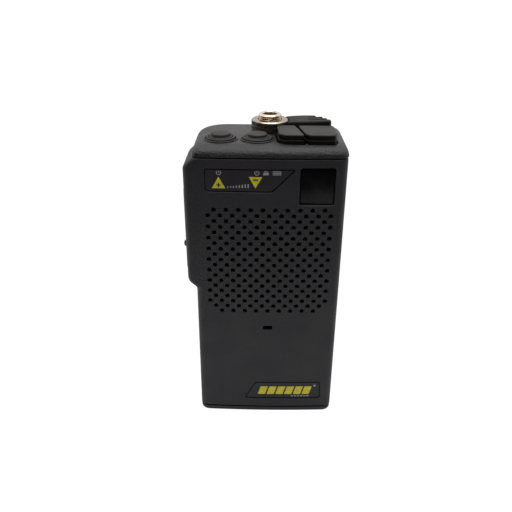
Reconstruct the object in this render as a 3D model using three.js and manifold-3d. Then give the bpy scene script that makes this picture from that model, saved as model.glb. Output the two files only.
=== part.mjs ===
// Hand-held two-way radio with its aerial unscrewed: moulded front case with a
// drilled speaker grille, rear case, rubber-keyed top cap, side push-to-talk
// bar, bottom-loading battery pack and belt clip.
// Millimetres. +Z up, the front faces -Y, +X is to the right seen from the
// front. The origin is the middle of the base, on the surface it stands on.
import * as THREE from 'three';
import { mergeVertices } from 'three/addons/utils/BufferGeometryUtils.js';
import Module from 'manifold-3d';

const wasm = await Module();
wasm.setup();
const { Manifold, Mesh: MMesh } = wasm;

// ---------------------------------------------------------------- dimensions
const GAP = 0.3;                 // clearance between neighbouring pieces
const X_LEFT = [-31.45, -31.1];  // case sides, at the base and at the top (moulding draft)
const X_RIGHT = [31.6, 31.3];
const HALF_D = 19.5;             // case half depth
const CROWN = 0.75, CROWN_X = 19.15; // the front bows out in the middle
const WALL = 2.0;
const FRONT_WALL = 2.2;
const Z_BASE = 2.6;              // parting of battery base and case
const Z_CAP = 127.6;             // parting of case and top cap
const Z_TOP = 132.4;             // flat top of the cap
const Y_SPLIT = 7.0;             // front case / rear case parting
const R_FRONT = 3.0;             // vertical edge radii
const R_BACK_L = 12.0;
const R_BACK_R = 9.4;
const CAP_IN_FRONT = 6.0, CAP_IN_LEFT = 4.2, CAP_IN_RIGHT = 3.2, CAP_IN_BACK = 3.0; // shoulder widths
const CAP_LIP = 0.15;            // the cap stands this far proud of the case sides

const HOLE_PITCH = 2.54;         // grille: half of the 5.08 mm square lattice
const HOLE_R = 0.88;
const GRILLE_X = 0.1, GRILLE_Z_TOP = 105.8, GRILLE_ROWS = 20;

const WINDOW = [12.2, 26.5, 108.1, 123.85];   // x0, x1, z0, z1
const LABEL = [[-26.1, 113.55], [1.25, 113.55], [10.9, 123.3], [-26.1, 123.3]];
const BADGE = [[-10.4, 7.8], [26.3, 7.8], [25.8, 17.6], [-5.2, 17.6]];
const INLAY = 0.6;               // depth of the label recesses

const BUMP_X = -35.0;            // side of the push-to-talk housing
const BUMP_Y_BACK = 5.0;
const BUMP = [[-30.5, 127.4], [-31.15, 127.4], [-34.2, 124.6], [-35.0, 123.0], [-35.0, 73.2],
  [-34.8, 71.9], [-34.1, 70.7], [-32.9, 69.7], [-31.9, 68.8], [-31.4, 67.6], [-30.5, 67.4]];
const PTT = { y: -6.9, z: 95.0, hy: 8.3, hz: 19.0, face: -35.4, nub: -36.6, nubY: -11.5, nubZ: 87.2, travel: 0.9 };

const BTN = { r: 6.2, xs: [-20.0, -5.1], ys: [-7.3, -7.5], travel: 0.8 };
const KEY_TOP = Z_TOP + 3.0;
const LEFT_KEY = [[3.5, -12.3], [6.1, -15.0], [13.7, -15.0], [10.6, 1.0], [4.7, 1.0], [3.0, -0.6]];
const RIGHT_KEY = [[16.0, -15.0], [24.7, -15.0], [26.7, -10.2], [26.6, 1.0], [11.75, 1.0], [14.3, -12.6]];
const COVER = [[8.7, 2.6], [26.7, 2.6], [27.0, 4.6], [26.3, 7.4], [24.9, 10.0], [22.9, 12.4],
  [19.9, 14.4], [15.5, 15.2], [11.0, 14.8], [8.7, 13.0]];
const COVER_TOP_L = 136.1, COVER_TOP_R = 137.3;

const ANT = { x: 0.17, y: 8.0, nutR: 7.83, nutTop: 136.9, r: 4.93, top: 139.4, bore: 3.1 };

const SPK = { x: 0.1, z: 81.7, r: 25.0 };
const CELL = { r: 7.05, len: 50.2, pitch: 14.8, y: 9.1, z0: 5.4 };
const TRAY = { hx: 22.6, y0: 1.0, y1: 17.1, top: 109.5 };

const CLIP = { y: 24.2, z: 99.0, pinR: 1.25 };

// ------------------------------------------------------------------- helpers
const group = new THREE.Group();
const DEG = Math.PI / 180;

function solid(geo) {
  const g = geo.index ? geo.toNonIndexed() : geo.clone();
  g.deleteAttribute('normal'); g.deleteAttribute('uv');
  const m = mergeVertices(g, 1e-4), p = m.attributes.position.array, t = m.index.array;
  // wind every face outwards, whichever way a profile was listed
  let vol = 0;
  for (let i = 0; i < t.length; i += 3) {
    const [a, b, c] = [3 * t[i], 3 * t[i + 1], 3 * t[i + 2]];
    vol += p[a] * (p[b + 1] * p[c + 2] - p[b + 2] * p[c + 1]) - p[a + 1] * (p[b] * p[c + 2] - p[b + 2] * p[c]) + p[a + 2] * (p[b] * p[c + 1] - p[b + 1] * p[c]);
  }
  if (vol < 0) for (let i = 0; i < t.length; i += 3) [t[i + 1], t[i + 2]] = [t[i + 2], t[i + 1]];
  return new Manifold(new MMesh({ numProp: 3, vertProperties: new Float32Array(p), triVerts: new Uint32Array(t) }));
}
function geometry(man) {
  const m = man.getMesh();
  const g = new THREE.BufferGeometry();
  g.setAttribute('position', new THREE.BufferAttribute(new Float32Array(m.vertProperties), 3));
  g.setIndex(new THREE.BufferAttribute(new Uint32Array(m.triVerts), 1));
  return g;
}
const box = (x0, x1, y0, y1, z0, z1) => solid(new THREE.BoxGeometry(x1 - x0, y1 - y0, z1 - z0)
  .translate((x0 + x1) / 2, (y0 + y1) / 2, (z0 + z1) / 2));
const shape = pts => new THREE.Shape(pts.map(p => new THREE.Vector2(p[0], p[1])));
// prism of an XY outline along Z
const prismZ = (pts, z0, z1) => solid(new THREE.ExtrudeGeometry(shape(pts), { depth: z1 - z0, bevelEnabled: false, steps: 1 })
  .translate(0, 0, z0));
// prism of an XZ outline along Y
const prismY = (pts, y0, y1) => solid(new THREE.ExtrudeGeometry(shape(pts), { depth: y1 - y0, bevelEnabled: false, steps: 1 })
  .rotateX(Math.PI / 2).translate(0, y1, 0));
// prism of a YZ outline along X
const prismX = (pts, x0, x1) => solid(new THREE.ExtrudeGeometry(shape(pts), { depth: x1 - x0, bevelEnabled: false, steps: 1 })
  .applyMatrix4(new THREE.Matrix4().makeBasis(new THREE.Vector3(0, 1, 0), new THREE.Vector3(0, 0, 1), new THREE.Vector3(1, 0, 0)))
  .translate(x0, 0, 0));
// turned pieces: profile of [radius, height]
const lathe = (prof, n) => new THREE.LatheGeometry(prof.map(p => new THREE.Vector2(p[0], p[1])), n);
const turnZ = (prof, x, y, n = 20) => solid(lathe(prof, n).rotateX(Math.PI / 2).translate(x, y, 0));
const turnY = (prof, x, z, n = 20) => solid(lathe(prof, n).translate(x, 0, z));
const turnX = (prof, y, z, n = 16) => solid(lathe(prof, n).rotateZ(-Math.PI / 2).translate(0, y, z));
const rod = (r, a, b) => [[0, a], [r, a], [r, b], [0, b]];
// rounded rectangle, counter-clockwise, the same number of points for any radii
function outline(x0, x1, y0, y1, r, n = 4) {
  const c = [[x0, y0, r[0], 180], [x1, y0, r[1], 270], [x1, y1, r[2], 0], [x0, y1, r[3], 90]];
  const sx = [1, -1, -1, 1], sy = [1, 1, -1, -1];
  const pts = [];
  c.forEach(([cx, cy, rr, a0], i) => {
    const ox = cx + sx[i] * rr, oy = cy + sy[i] * rr;
    for (let k = 0; k <= n; k++) {
      const a = (a0 + 90 * k / n) * DEG;
      pts.push([ox + rr * Math.cos(a), oy + rr * Math.sin(a)]);
    }
  });
  return pts;
}
// case plan at height z, moved in by the given amounts; its front bows out by c
function plan(z, l, r, f, b, rr, c = CROWN) {
  const t = Math.min(z / Z_TOP, 1), x0 = X_LEFT[0] + (X_LEFT[1] - X_LEFT[0]) * t + l, x1 = X_RIGHT[0] + (X_RIGHT[1] - X_RIGHT[0]) * t - r;
  const p = outline(x0, x1, -HALF_D + c + f, HALF_D - b, rr);
  const yf = -HALF_D + f + c * 0.2;
  return [...p.slice(0, 5), [-CROWN_X + 0.1, yf], [CROWN_X + 0.1, yf], ...p.slice(5)];
}
// closed skin through stacked convex rings: [[z, points], ...] from low to high
function loft(rings) {
  const n = rings[0][1].length, pos = [], idx = [];
  rings.forEach(([z, pts]) => pts.forEach((p, i) => pos.push(p[0], p[1], p.length > 2 ? p[2] : z)));
  for (let k = 0; k + 1 < rings.length; k++) for (let i = 0; i < n; i++) {
    const a = k * n + i, b = k * n + (i + 1) % n;
    idx.push(a, b, b + n, a, b + n, a + n);
  }
  const t = (rings.length - 1) * n;
  for (let i = 1; i + 1 < n; i++) { idx.push(0, i + 1, i); idx.push(t, t + i, t + i + 1); }
  const g = new THREE.BufferGeometry();
  g.setAttribute('position', new THREE.Float32BufferAttribute(pos, 3));
  g.setIndex(idx);
  return solid(g);
}
// convex polygon moved outward edge by edge (edge i runs from point i to i+1)
function offset(pts, d) {
  const n = pts.length, D = i => (Array.isArray(d) ? d[i] : d), out = [];
  for (let i = 0; i < n; i++) {
    const a = pts[(i + n - 1) % n], b = pts[i], c = pts[(i + 1) % n];
    const n1 = norm(a, b), n2 = norm(b, c), d1 = D((i + n - 1) % n), d2 = D(i);
    const det = n1[0] * n2[1] - n1[1] * n2[0];
    const e1 = n1[0] * b[0] + n1[1] * b[1] + d1, e2 = n2[0] * b[0] + n2[1] * b[1] + d2;
    out.push([(e1 * n2[1] - e2 * n1[1]) / det, (n1[0] * e2 - n2[0] * e1) / det]);
  }
  return out;
}
function norm(a, b) { const dx = b[0] - a[0], dy = b[1] - a[1], l = Math.hypot(dx, dy); return [dy / l, -dx / l]; }
const rect = (x0, x1, y0, y1) => [[x0, y0], [x1, y0], [x1, y1], [x0, y1]];
const chamfered = (x0, x1, y0, y1, c) => [[x0 + c, y0], [x1 - c, y0], [x1, y0 + c], [x1, y1 - c], [x1 - c, y1], [x0 + c, y1], [x0, y1 - c], [x0, y0 + c]];
const slot = (xc, zc, hx, r, n = 6) => {
  const p = [];
  for (let k = 0; k <= n; k++) p.push([xc + hx - r + r * Math.cos((-90 + 180 * k / n) * DEG), zc + r * Math.sin((-90 + 180 * k / n) * DEG)]);
  for (let k = 0; k <= n; k++) p.push([xc - hx + r + r * Math.cos((90 + 180 * k / n) * DEG), zc + r * Math.sin((90 + 180 * k / n) * DEG)]);
  return p;
};
const circle = (x, y, r, n, a0 = 0) => Array.from({ length: n }, (_, k) => [x + r * Math.cos(a0 + 2 * Math.PI * k / n), y + r * Math.sin(a0 + 2 * Math.PI * k / n)]);
const union = list => Manifold.union(list);
// tube along a curve, closed at both ends
const wire = (curve, r, sides, steps) => solid(new THREE.ExtrudeGeometry(shape(circle(0, 0, r, sides)), { extrudePath: curve, steps, bevelEnabled: false }));

const MAT = {
  case: ['#2b2c2e', 0.62, 0], rubber: ['#3a3734', 0.8, 0], smoked: ['#0b0b0d', 0.12, 0], label: ['#1d1e20', 0.45, 0],
  badge: ['#1f2022', 0.45, 0], nickel: ['#b9b2a6', 0.3, 1], brass: ['#b58a4a', 0.3, 1], steel: ['#8f9296', 0.35, 1],
  spring: ['#9a9da1', 0.3, 1], board: ['#1f5a35', 0.6, 0], black: ['#151515', 0.55, 0], cloth: ['#0d0d0e', 0.95, 0],
  cone: ['#2a2623', 0.9, 0], magnet: ['#5d5f62', 0.4, 1], tin: ['#a9adb1', 0.35, 1], ptfe: ['#e8e4da', 0.5, 0],
  cell: ['#2f6f8f', 0.4, 0.1], led: ['#2a0d0c', 0.4, 0], ptt: ['#302e2c', 0.85, 0],
};
function add(name, man, mat) {
  const [color, roughness, metalness] = MAT[mat];
  const g = geometry(man);
  g.computeVertexNormals();
  const mesh = new THREE.Mesh(g, new THREE.MeshStandardMaterial({ color, roughness, metalness, flatShading: true }));
  mesh.name = name;
  group.add(mesh);
  return mesh;
}

// ----------------------------------------------------------------- front case
const radii = (f, bl, br) => [f, f, br, bl];
const outer = z => plan(z, 0, 0, 0, 0, radii(R_FRONT, R_BACK_L, R_BACK_R));
const inner = outline(-29.1, 29.2, -HALF_D + FRONT_WALL, HALF_D - WALL, radii(1.4, R_BACK_L - WALL, R_BACK_R - WALL));
// the case's outside, moved in along Y by d, between two heights
const hull = (z0, z1, d = 0) => loft([[z0, outer(z0).map(p => [p[0], p[1] + d])], [z1, outer(z1).map(p => [p[0], p[1] + d])]]);
const CASE_BOTTOM = Z_BASE + GAP / 2, CASE_TOP = Z_CAP - GAP / 2;
const BOSS_X = 20.0, BOSS_Z = 118.5;
{
  let s = hull(CASE_BOTTOM, CASE_TOP).intersect(box(-40, 40, -30, Y_SPLIT, 0, 140));
  const bump = prismY(BUMP, -HALF_D, BUMP_Y_BACK).intersect(
    prismZ(outline(BUMP_X, -20, -HALF_D + CROWN, BUMP_Y_BACK, [2.6, 0.5, 0.5, 2.0], 3), 60, 130));
  s = s.add(bump);
  // electronics space and battery bay
  s = s.subtract(prismZ(inner, 4.6, CASE_TOP + 1).intersect(box(-40, 40, -30, Y_SPLIT + 1, 0, 140)));
  s = s.subtract(box(-25, 25, 0.6, Y_SPLIT + 1, 0, 6));
  // room for the push-to-talk bar, and its window
  s = s.subtract(box(BUMP_X + 1.8, -28.9, PTT.y - PTT.hy - 1.4, PTT.y + PTT.hy + 1.4, PTT.z - PTT.hz - 1.6, PTT.z + PTT.hz + 1.6));
  s = s.subtract(prismX(chamfered(PTT.y - PTT.hy - GAP, PTT.y + PTT.hy + GAP, PTT.z - PTT.hz - GAP, PTT.z + PTT.hz + GAP, 2.2), -40, -30));
  // screw bosses carried by webs from the side walls
  for (const sx of [-1, 1]) {
    const b = turnY(rod(2.9, -6, 15.4), sx * BOSS_X, BOSS_Z, 12)
      .add(box(Math.min(sx * BOSS_X, sx * 30), Math.max(sx * BOSS_X, sx * 30), -6, Y_SPLIT - 0.4, BOSS_Z - 1, BOSS_Z + 1))
      .subtract(turnY(rod(1.4, 3, 20), sx * BOSS_X, BOSS_Z, 12));
    s = s.add(b);
  }
  // speaker grille
  const holes = [];
  for (let r = 0; r < GRILLE_ROWS; r++) {
    const xs = [];
    if (r === GRILLE_ROWS - 1) for (let k = -4; k <= 4; k++) xs.push(k * 2 * HOLE_PITCH);
    else if (r % 2 === 0) for (let k = -5; k < 5; k++) xs.push((2 * k + 1) * HOLE_PITCH);
    else for (let k = -5; k <= 5; k++) xs.push(k * 2 * HOLE_PITCH);
    for (const x of xs) holes.push(prismY(circle(GRILLE_X + x, GRILLE_Z_TOP - r * HOLE_PITCH, HOLE_R, 6, Math.PI / 6), -HALF_D - 1, -HALF_D + FRONT_WALL + 1));
  }
  s = s.subtract(union(holes));
  // microphone slot, display window, label recesses
  s = s.subtract(prismY(slot(0.2, 48.6, 2.1, 0.9), -21, -16));
  s = s.subtract(prismY(chamfered(...WINDOW, 1.2), -21, -16));
  s = s.subtract(prismY(LABEL, -21, -16).subtract(hull(90, 126, INLAY)));
  s = s.subtract(prismY(BADGE, -21, -16).subtract(hull(4, 24, INLAY)));
  add('front_case', s, 'case');
}
const inlay = (pts, z0, z1) => prismY(offset(pts, -GAP), -21, -16).intersect(hull(z0, z1, 0.02)).subtract(hull(z0 - 1, z1 + 1, INLAY - GAP));
add('control_label', inlay(LABEL, 90, 126), 'label');
add('badge_plate', inlay(BADGE, 4, 24), 'badge');

// ------------------------------------------------------------------ rear case
{
  const y0 = Y_SPLIT + GAP;
  let s = hull(CASE_BOTTOM, CASE_TOP).intersect(box(-40, 40, y0, 30, 0, 140));
  s = s.subtract(prismZ(inner, 0, CASE_TOP + 1).intersect(box(-40, 40, y0 - 1, 30, 0, 140)));
  // pads round the case screws
  for (const sx of [-1, 1]) {
    s = s.add(turnY(rod(3.8, 15.7, 18), sx * BOSS_X, BOSS_Z, 12));
    s = s.subtract(turnY(rod(1.5, 14, 21), sx * BOSS_X, BOSS_Z, 12));
    s = s.subtract(turnY(rod(2.9, 17.2, 21), sx * BOSS_X, BOSS_Z, 12));
  }
  // latch window with side grooves, charging contacts, clip screws
  s = s.subtract(box(-6.3, 6.3, 17, 21, 4.7, 15.7)).subtract(box(-7.6, 7.6, 18.0, 19.2, 4.7, 15.7));
  for (const sx of [-1, 1]) {
    s = s.subtract(turnY(rod(2.8, 16, 21), sx * 14, 10, 16));
    s = s.subtract(turnY(rod(1.4, 16, 21), sx * 5.5, 88.5, 10));
  }
  // shallow pocket for the blank rating label
  s = s.subtract(prismY(chamfered(-15, 15, 22, 42, 1), HALF_D - 0.4, 21));
  add('rear_case', s, 'case');
}

// -------------------------------------------------------------------- top cap
{
  const rings = [[Z_CAP + GAP / 2, plan(Z_CAP, -CAP_LIP, -CAP_LIP, 0, 0, radii(R_FRONT, R_BACK_L, R_BACK_R))]];
  const N = 5, z0 = Z_CAP + 0.4;
  for (let k = 0; k <= N; k++) {
    const a = (90 * k / N) * DEG, t = 1 - Math.cos(a), z = z0 + (Z_TOP - z0) * Math.sin(a);
    const b = CAP_IN_BACK * t;
    rings.push([z, plan(z, CAP_IN_LEFT * t - CAP_LIP, CAP_IN_RIGHT * t - CAP_LIP, CAP_IN_FRONT * t, b, radii(R_FRONT + 2 * t, R_BACK_L - b, R_BACK_R - b), CROWN)]);
  }
  let s = loft(rings);
  const ins = outline(-28.0, 28.5, -HALF_D + 3.2, HALF_D - 3.4, radii(2.0, R_BACK_L - 3.4, R_BACK_R - 3.4));
  s = s.subtract(loft([[Z_CAP - 1, inner], [Z_CAP + 1.2, inner], [Z_TOP - WALL, ins]]));
  BTN.xs.forEach((x, i) => {
    s = s.subtract(turnZ([[0, 120], [BTN.r + 0.3, 120], [BTN.r + 0.3, Z_TOP - 0.5], [BTN.r + 0.8, Z_TOP], [BTN.r + 0.8, 140], [0, 140]], x, BTN.ys[i], 20));
  });
  const e = 0.65;
  s = s.subtract(prismZ(offset(LEFT_KEY, e), 128, 140).add(prismZ(offset(RIGHT_KEY, e), 128, 140)));
  s = s.subtract(turnZ(rod(5.25, 120, 140), ANT.x, ANT.y, 20));
  s = s.subtract(turnZ(rod(2.9, 120, 140), 14.5, 8.5, 14)).subtract(turnZ(rod(2.4, 120, 140), 21.5, 8.5, 14));
  add('top_cap', s, 'case');
}

// ------------------------------------------------------- buttons, keys, cover
function roundButton(name, x, y) {
  const T = Z_TOP;
  add(name, turnZ([[0, 128.9], [1.6, 128.9], [1.6, 129.4], [BTN.r + 1.0, 129.4], [BTN.r + 1.0, T - WALL - GAP], [BTN.r, T - WALL - GAP],
    [BTN.r, T + 0.45], [BTN.r - 0.45, T + 0.85], [BTN.r - 1.3, T + 1.05], [4.3, T + 1.1], [3.9, T + 1.25], [3.85, T + 1.75], [3.1, T + 2.0], [0, T + 2.15]], x, y, 20), 'rubber');
}
roundButton('volume_up_button', BTN.xs[0], BTN.ys[0]);
roundButton('volume_down_button', BTN.xs[1], BTN.ys[1]);
function key(name, pts, lower, flange, px, py) {
  const L = offset(pts, lower), F = offset(pts, flange), T = KEY_TOP;
  let s = loft([[129.4, F], [Z_TOP - WALL - GAP, F], [Z_TOP - WALL - GAP, L], [T - 1.4, L], [T - 1.1, pts], [T - 0.35, pts], [T, offset(pts, -0.45)]]);
  s = s.add(turnZ(rod(1.6, 128.9, 129.8), px, py, 12));
  add(name, s, 'rubber');
}
key('left_key', LEFT_KEY, [0.3, 0.3, 0, 0.3, 0.3, 0.3], [0.9, 0.9, 0, 0.9, 0.4, 0.4], 8.2, -7.0);
key('right_key', RIGHT_KEY, [0.3, 0.3, 0.3, 0.3, 0, 0], [0.9, 0.9, 0.9, 0.9, 0, 0], 19.5, -7.0);
{
  const topZ = x => COVER_TOP_L + (COVER_TOP_R - COVER_TOP_L) * (x - 8.7) / (27.2 - 8.7);
  const C = COVER, In = offset(C, -0.5);
  let s = loft([[Z_TOP + GAP, C], [0, C.map(p => [p[0], p[1], topZ(p[0]) - 0.5])], [0, In.map(p => [p[0], p[1], topZ(p[0])])]]);
  // finger ribs: grooves running across the back half
  for (const y of [6.6, 9.4, 12.2]) {
    s = s.subtract(prismX([[y - 0.45, 135.1], [y + 0.45, 135.1], [y + 0.45, 140], [y - 0.45, 140]], 10.5, 30));
  }
  s = s.add(turnZ(rod(1.35, 127.5, 133.2), 14.5, 8.5, 10)).add(turnZ(rod(0.95, 127.5, 133.2), 21.5, 8.5, 10));
  add('jack_cover', s, 'rubber');
}

// ------------------------------------------------------------- aerial fitting
add('antenna_nut', turnZ([[5.2, 132.7], [ANT.nutR, 132.7], [ANT.nutR, 136.3], [7.1, ANT.nutTop], [5.2, ANT.nutTop], [5.2, 132.7]], ANT.x, ANT.y, 24), 'nickel');
add('antenna_bush', turnZ([[2.6, 122], [4.93, 122], [4.93, 128.0], [6.4, 128.0], [6.4, 130.1], [4.93, 130.1], [4.93, 138.7], [4.1, ANT.top], [3.5, ANT.top], [ANT.bore, 139.0],
  [ANT.bore, 131.0], [2.6, 131.0], [2.6, 122]], ANT.x, ANT.y, 24), 'brass');
add('antenna_insulator', turnZ([[0.9, 123], [2.3, 123], [2.3, 130.6], [0.9, 130.6], [0.9, 123]], ANT.x, ANT.y, 14), 'ptfe');
add('antenna_contact', turnZ(rod(0.6, 121.0, 131.2), ANT.x, ANT.y, 10), 'brass');
function jack(name, x, y, rn, rh) {
  add(name, turnZ([[0, 124.9], [3.3, 124.9], [3.3, 130.1], [rn, 130.1], [rn, 132.4], [rh, 132.4], [rh, 126.0], [0, 126.0]], x, y, 14), 'black');
}
jack('speaker_jack', 14.5, 8.5, 2.6, 1.8);
jack('mic_jack', 21.5, 8.5, 2.1, 1.3);

// ------------------------------------------------------------------ key board
{
  let s = prismZ(outline(-28.4, 28.5, -15.2, 16.4, [1, 1, 7, 10], 3), 123.4, 124.6);
  s = s.subtract(turnZ(rod(5.6, 120, 128), ANT.x, ANT.y, 16));
  add('key_board', s, 'board');
}
function tact(name, x, y) {
  add(name, box(x - 3, x + 3, y - 3, y + 3, 124.9, 127.3).add(turnZ(rod(1.7, 127.0, 127.8), x, y, 12)), 'black');
}
tact('volume_up_switch', BTN.xs[0], BTN.ys[0]);
tact('volume_down_switch', BTN.xs[1], BTN.ys[1]);
tact('left_key_switch', 8.2, -7.0);
tact('right_key_switch', 19.5, -7.0);

// ---------------------------------------------------------- display and sound
{
  const [x0, x1, z0, z1] = WINDOW;
  add('display_lens', prismY(chamfered(x0 + GAP, x1 - GAP, z0 + GAP, z1 - GAP, 1.1), -18.3, -16.5)
    .add(box(x0 - 0.9, x1 + 0.9, -17.0, -15.8, z0 - 0.7, z1 + 0.9)), 'smoked');
  add('display_module', box(x0 + 0.6, x1 - 0.6, -15.5, -11.5, z0 + 1.2, 122.9), 'led');
}
add('speaker_cloth', box(-27.4, 27.6, -17.0, -16.6, 56.0, 107.0), 'cloth');
add('speaker_frame', turnY([[0, -8.9], [12.6, -8.9], [22.3, -16.3], [25, -16.3], [25, -15.3], [23, -15.3], [13, -7.9], [0, -7.9]], SPK.x, SPK.z, 28), 'steel');
add('speaker_cone', turnY([[0, -12.0], [3.5, -11.4], [5.5, -10.4], [20.3, -16.2], [21.3, -16.2], [4, -9.4], [0, -9.4]], SPK.x, SPK.z, 24), 'cone');
add('speaker_magnet', turnY(rod(11, -7.6, -3.7), SPK.x, SPK.z, 20), 'magnet');
add('mic_boot', turnY([[1.2, -17.0], [4.5, -17.0], [4.5, -12.2], [3.3, -12.2], [3.3, -16.2], [1.2, -16.2], [1.2, -17.0]], 0.2, 48.6, 16), 'rubber');
add('mic_capsule', turnY(rod(3.0, -15.9, -12.9), 0.2, 48.6, 16), 'tin');

// --------------------------------------------------------- board and chassis
add('main_board', box(-22.6, 22.6, -3.4, -1.8, 6, 112), 'board');
add('rf_shield', box(-20, 20, -9.7, -3.7, 9, 42).subtract(box(-19.4, 19.4, -9.1, -3, 9.6, 41.4)), 'tin');
add('chassis_plate', box(-22.6, 22.6, -0.5, 0.5, 6, 112), 'steel');
add('ptt_switch', box(-28.2, -22.0, -7.2, -3.7, 91.8, 98.2).add(turnX(rod(1.3, -29.3, -28.0), -5.4, 95.0, 12)), 'black');

// ------------------------------------------------------- push-to-talk bar
{
  const { y, z, hy, hz, face, nub, nubY, nubZ } = PTT;
  const at = (a, b, c, x0, x1) => prismX(chamfered(y - a, y + a, z - b, z + b, c), x0, x1);
  let s = at(hy, hz, 2.2, face + 0.5, -32.3).add(at(hy - 0.5, hz - 0.5, 2.0, face, -34));
  s = s.add(at(hy + 1.0, hz + 1.2, 2.2, -32.7, -31.9));
  s = s.add(turnX([[0, nub], [0.7, nub + 0.1], [1.3, nub + 0.5], [1.75, nub + 1.1], [1.95, face + 0.5], [0, face + 0.5]], nubY, nubZ, 12));
  add('ptt_pad', s, 'ptt');
  add('ptt_lever', box(-31.6, -30.4, y - 7, y + 7, z - 17, z + 17), 'black');
}

// ------------------------------------------------------------- battery pack
{
  const ring = (z, i) => plan(z, i, i, i, i, radii(4.0, R_BACK_L, R_BACK_R));
  let s = loft([[0, ring(0, 0.65)], [0.3, ring(0.3, 0.22)], [0.9, ring(0.9, 0)], [Z_BASE - GAP / 2, ring(2.45, 0)]]);
  const t = TRAY, c = 2.6;
  const foot = [[-t.hx, t.y0], [t.hx, t.y0], [t.hx, t.y1 - c], [t.hx - c, t.y1], [-t.hx + c, t.y1], [-t.hx, t.y1 - c]];
  let tray = prismZ(foot, 1.5, t.top);
  tray = tray.subtract(box(-t.hx + 0.7, t.hx - 0.7, t.y0 + 0.7, 25, 4.6, 107.2));
  s = s.add(tray);
  add('battery_tray', s, 'case');
  let n = 1;
  for (const row of [0, 1]) for (const col of [-1, 0, 1]) {
    const z0 = CELL.z0 + row * (CELL.len + 0.6), up = (col + row) % 2 === 0;
    const a = z0, b = z0 + CELL.len;
    const prof = up ? [[0, a], [CELL.r, a], [CELL.r, b - 1.4], [2.75, b - 1.2], [2.75, b], [0, b]]
      : [[0, a], [2.75, a], [2.75, a + 1.2], [CELL.r, a + 1.4], [CELL.r, b], [0, b]];
    add('battery_cell_' + n, turnZ(prof, col * CELL.pitch, CELL.y, 16), 'cell');
    n++;
  }
  add('pack_contact_positive', box(-12.5, -7.5, 5, 12, t.top + GAP, t.top + 0.7), 'brass');
  add('pack_contact_negative', box(7.5, 12.5, 5, 12, t.top + GAP, t.top + 0.7), 'brass');
  for (const [nm, x] of [['case_contact_positive', -10], ['case_contact_negative', 10]]) {
    add(nm, prismX([[0.9, 110.7], [10, 110.7], [11.6, 112.6], [11.2, 112.9], [9.8, 111.1], [1.3, 111.1], [1.3, 116], [0.9, 116]], x - 2, x + 2), 'brass');
  }
}

// --------------------------------------- latch, charging contacts, fasteners
{
  let s = box(-6, 6, 17.5, 19.4, 6, 12.6).add(box(-7.3, 7.3, 18.3, 18.9, 6, 12.6));
  for (const z of [7, 8.6, 10.2, 11.8]) s = s.add(prismX([[19.2, z - 0.45], [20.1, z - 0.15], [20.1, z + 0.15], [19.2, z + 0.45]], -5.4, 5.4));
  add('battery_latch', s, 'case');
}
add('charge_contact_left', turnY(rod(2.5, 17.6, 19.3), -14, 10, 16), 'nickel');
add('charge_contact_right', turnY(rod(2.5, 17.6, 19.3), 14, 10, 16), 'nickel');
function screw(name, x, z, yTip, ySeat, yTop, r, rHead) {
  let s = turnY([[0, yTip], [r, yTip + 0.4], [r, ySeat], [rHead, ySeat], [rHead, yTop - 0.5], [rHead - 0.6, yTop], [0, yTop]], x, z, 12);
  const w = 0.35, l = rHead * 0.62;
  s = s.subtract(box(x - l, x + l, yTop - 0.9, yTop + 1, z - w, z + w)).subtract(box(x - w, x + w, yTop - 0.9, yTop + 1, z - l, z + l));
  add(name, s, 'steel');
}
screw('case_screw_1', -BOSS_X, BOSS_Z, 4.5, 17.5, 19.1, 1.2, 2.5);
screw('case_screw_2', BOSS_X, BOSS_Z, 4.5, 17.5, 19.1, 1.2, 2.5);

// ------------------------------------------------------------------ belt clip
{
  let s = prismY(chamfered(-10, 10, 84, 104, 1.5), 19.8, 21.2);
  for (const sx of [-1, 1]) {
    const x0 = sx < 0 ? -10 : 8.0;
    s = s.add(prismX([[20.5, 93], [25, 95], [27.0, 97.5], [27.2, 100], [26, 102.2], [23, 103.2], [20.5, 103.2]], x0, x0 + 2));
  }
  s = s.subtract(turnX(rod(1.5, -20, 20), CLIP.y, CLIP.z, 16));
  for (const sx of [-1, 1]) s = s.subtract(turnY(rod(1.4, 19, 22), sx * 5.5, 88.5, 10));
  add('clip_bracket', s, 'steel');
  add('clip_pin', turnX(rod(CLIP.pinR, -9.8, 9.8), CLIP.y, CLIP.z, 16), 'steel');
  for (const [nm, x] of [['clip_screw_1', -5.5], ['clip_screw_2', 5.5]]) screw(nm, x, 88.5, 17.5, 21.5, 22.8, 1.15, 2.3);
  // lever: side profile in Y, Z
  const P = [[24.6, 116], [24.9, 104], [26.2, 101.5], [26.9, 98], [26.3, 90], [26.1, 60], [25.7, 54], [24.2, 50.2], [21.4, 47.5], [20.2, 44.6], [20.6, 43.6], [21.8, 43.8],
    [23.4, 46.2], [26.1, 48.8], [27.6, 53], [28.2, 60], [28.6, 92], [29.2, 98], [28.8, 101.5], [27.3, 104.5], [26.9, 116], [26.2, 117], [25.2, 117]];
  let c = prismX(P, -7.7, 7.7);
  const knuckle = (x0, x1) => turnX(rod(2.9, x0, x1), CLIP.y, CLIP.z, 16).add(box(x0, x1, CLIP.y, 27.5, CLIP.z - 2.4, CLIP.z + 2.4));
  c = c.add(knuckle(-7.7, -4.2)).add(knuckle(4.2, 7.7));
  c = c.subtract(turnX(rod(1.5, -20, 20), CLIP.y, CLIP.z, 16));
  add('belt_clip', c, 'case');
  // torsion spring round the pin
  class Coil extends THREE.Curve {
    getPoint(t) {
      const turns = 4.5, a = -60 * DEG + t * turns * 2 * Math.PI, R = 2.0;
      return new THREE.Vector3(-2.9 + 5.8 * t, CLIP.y + R * Math.cos(a), CLIP.z + R * Math.sin(a));
    }
  }
  add('clip_spring', wire(new Coil(), 0.32, 6, 64), 'spring');
}

export default group;
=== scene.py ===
import math

import bmesh
import bpy
import numpy as np
from mathutils import Matrix, Vector


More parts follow.
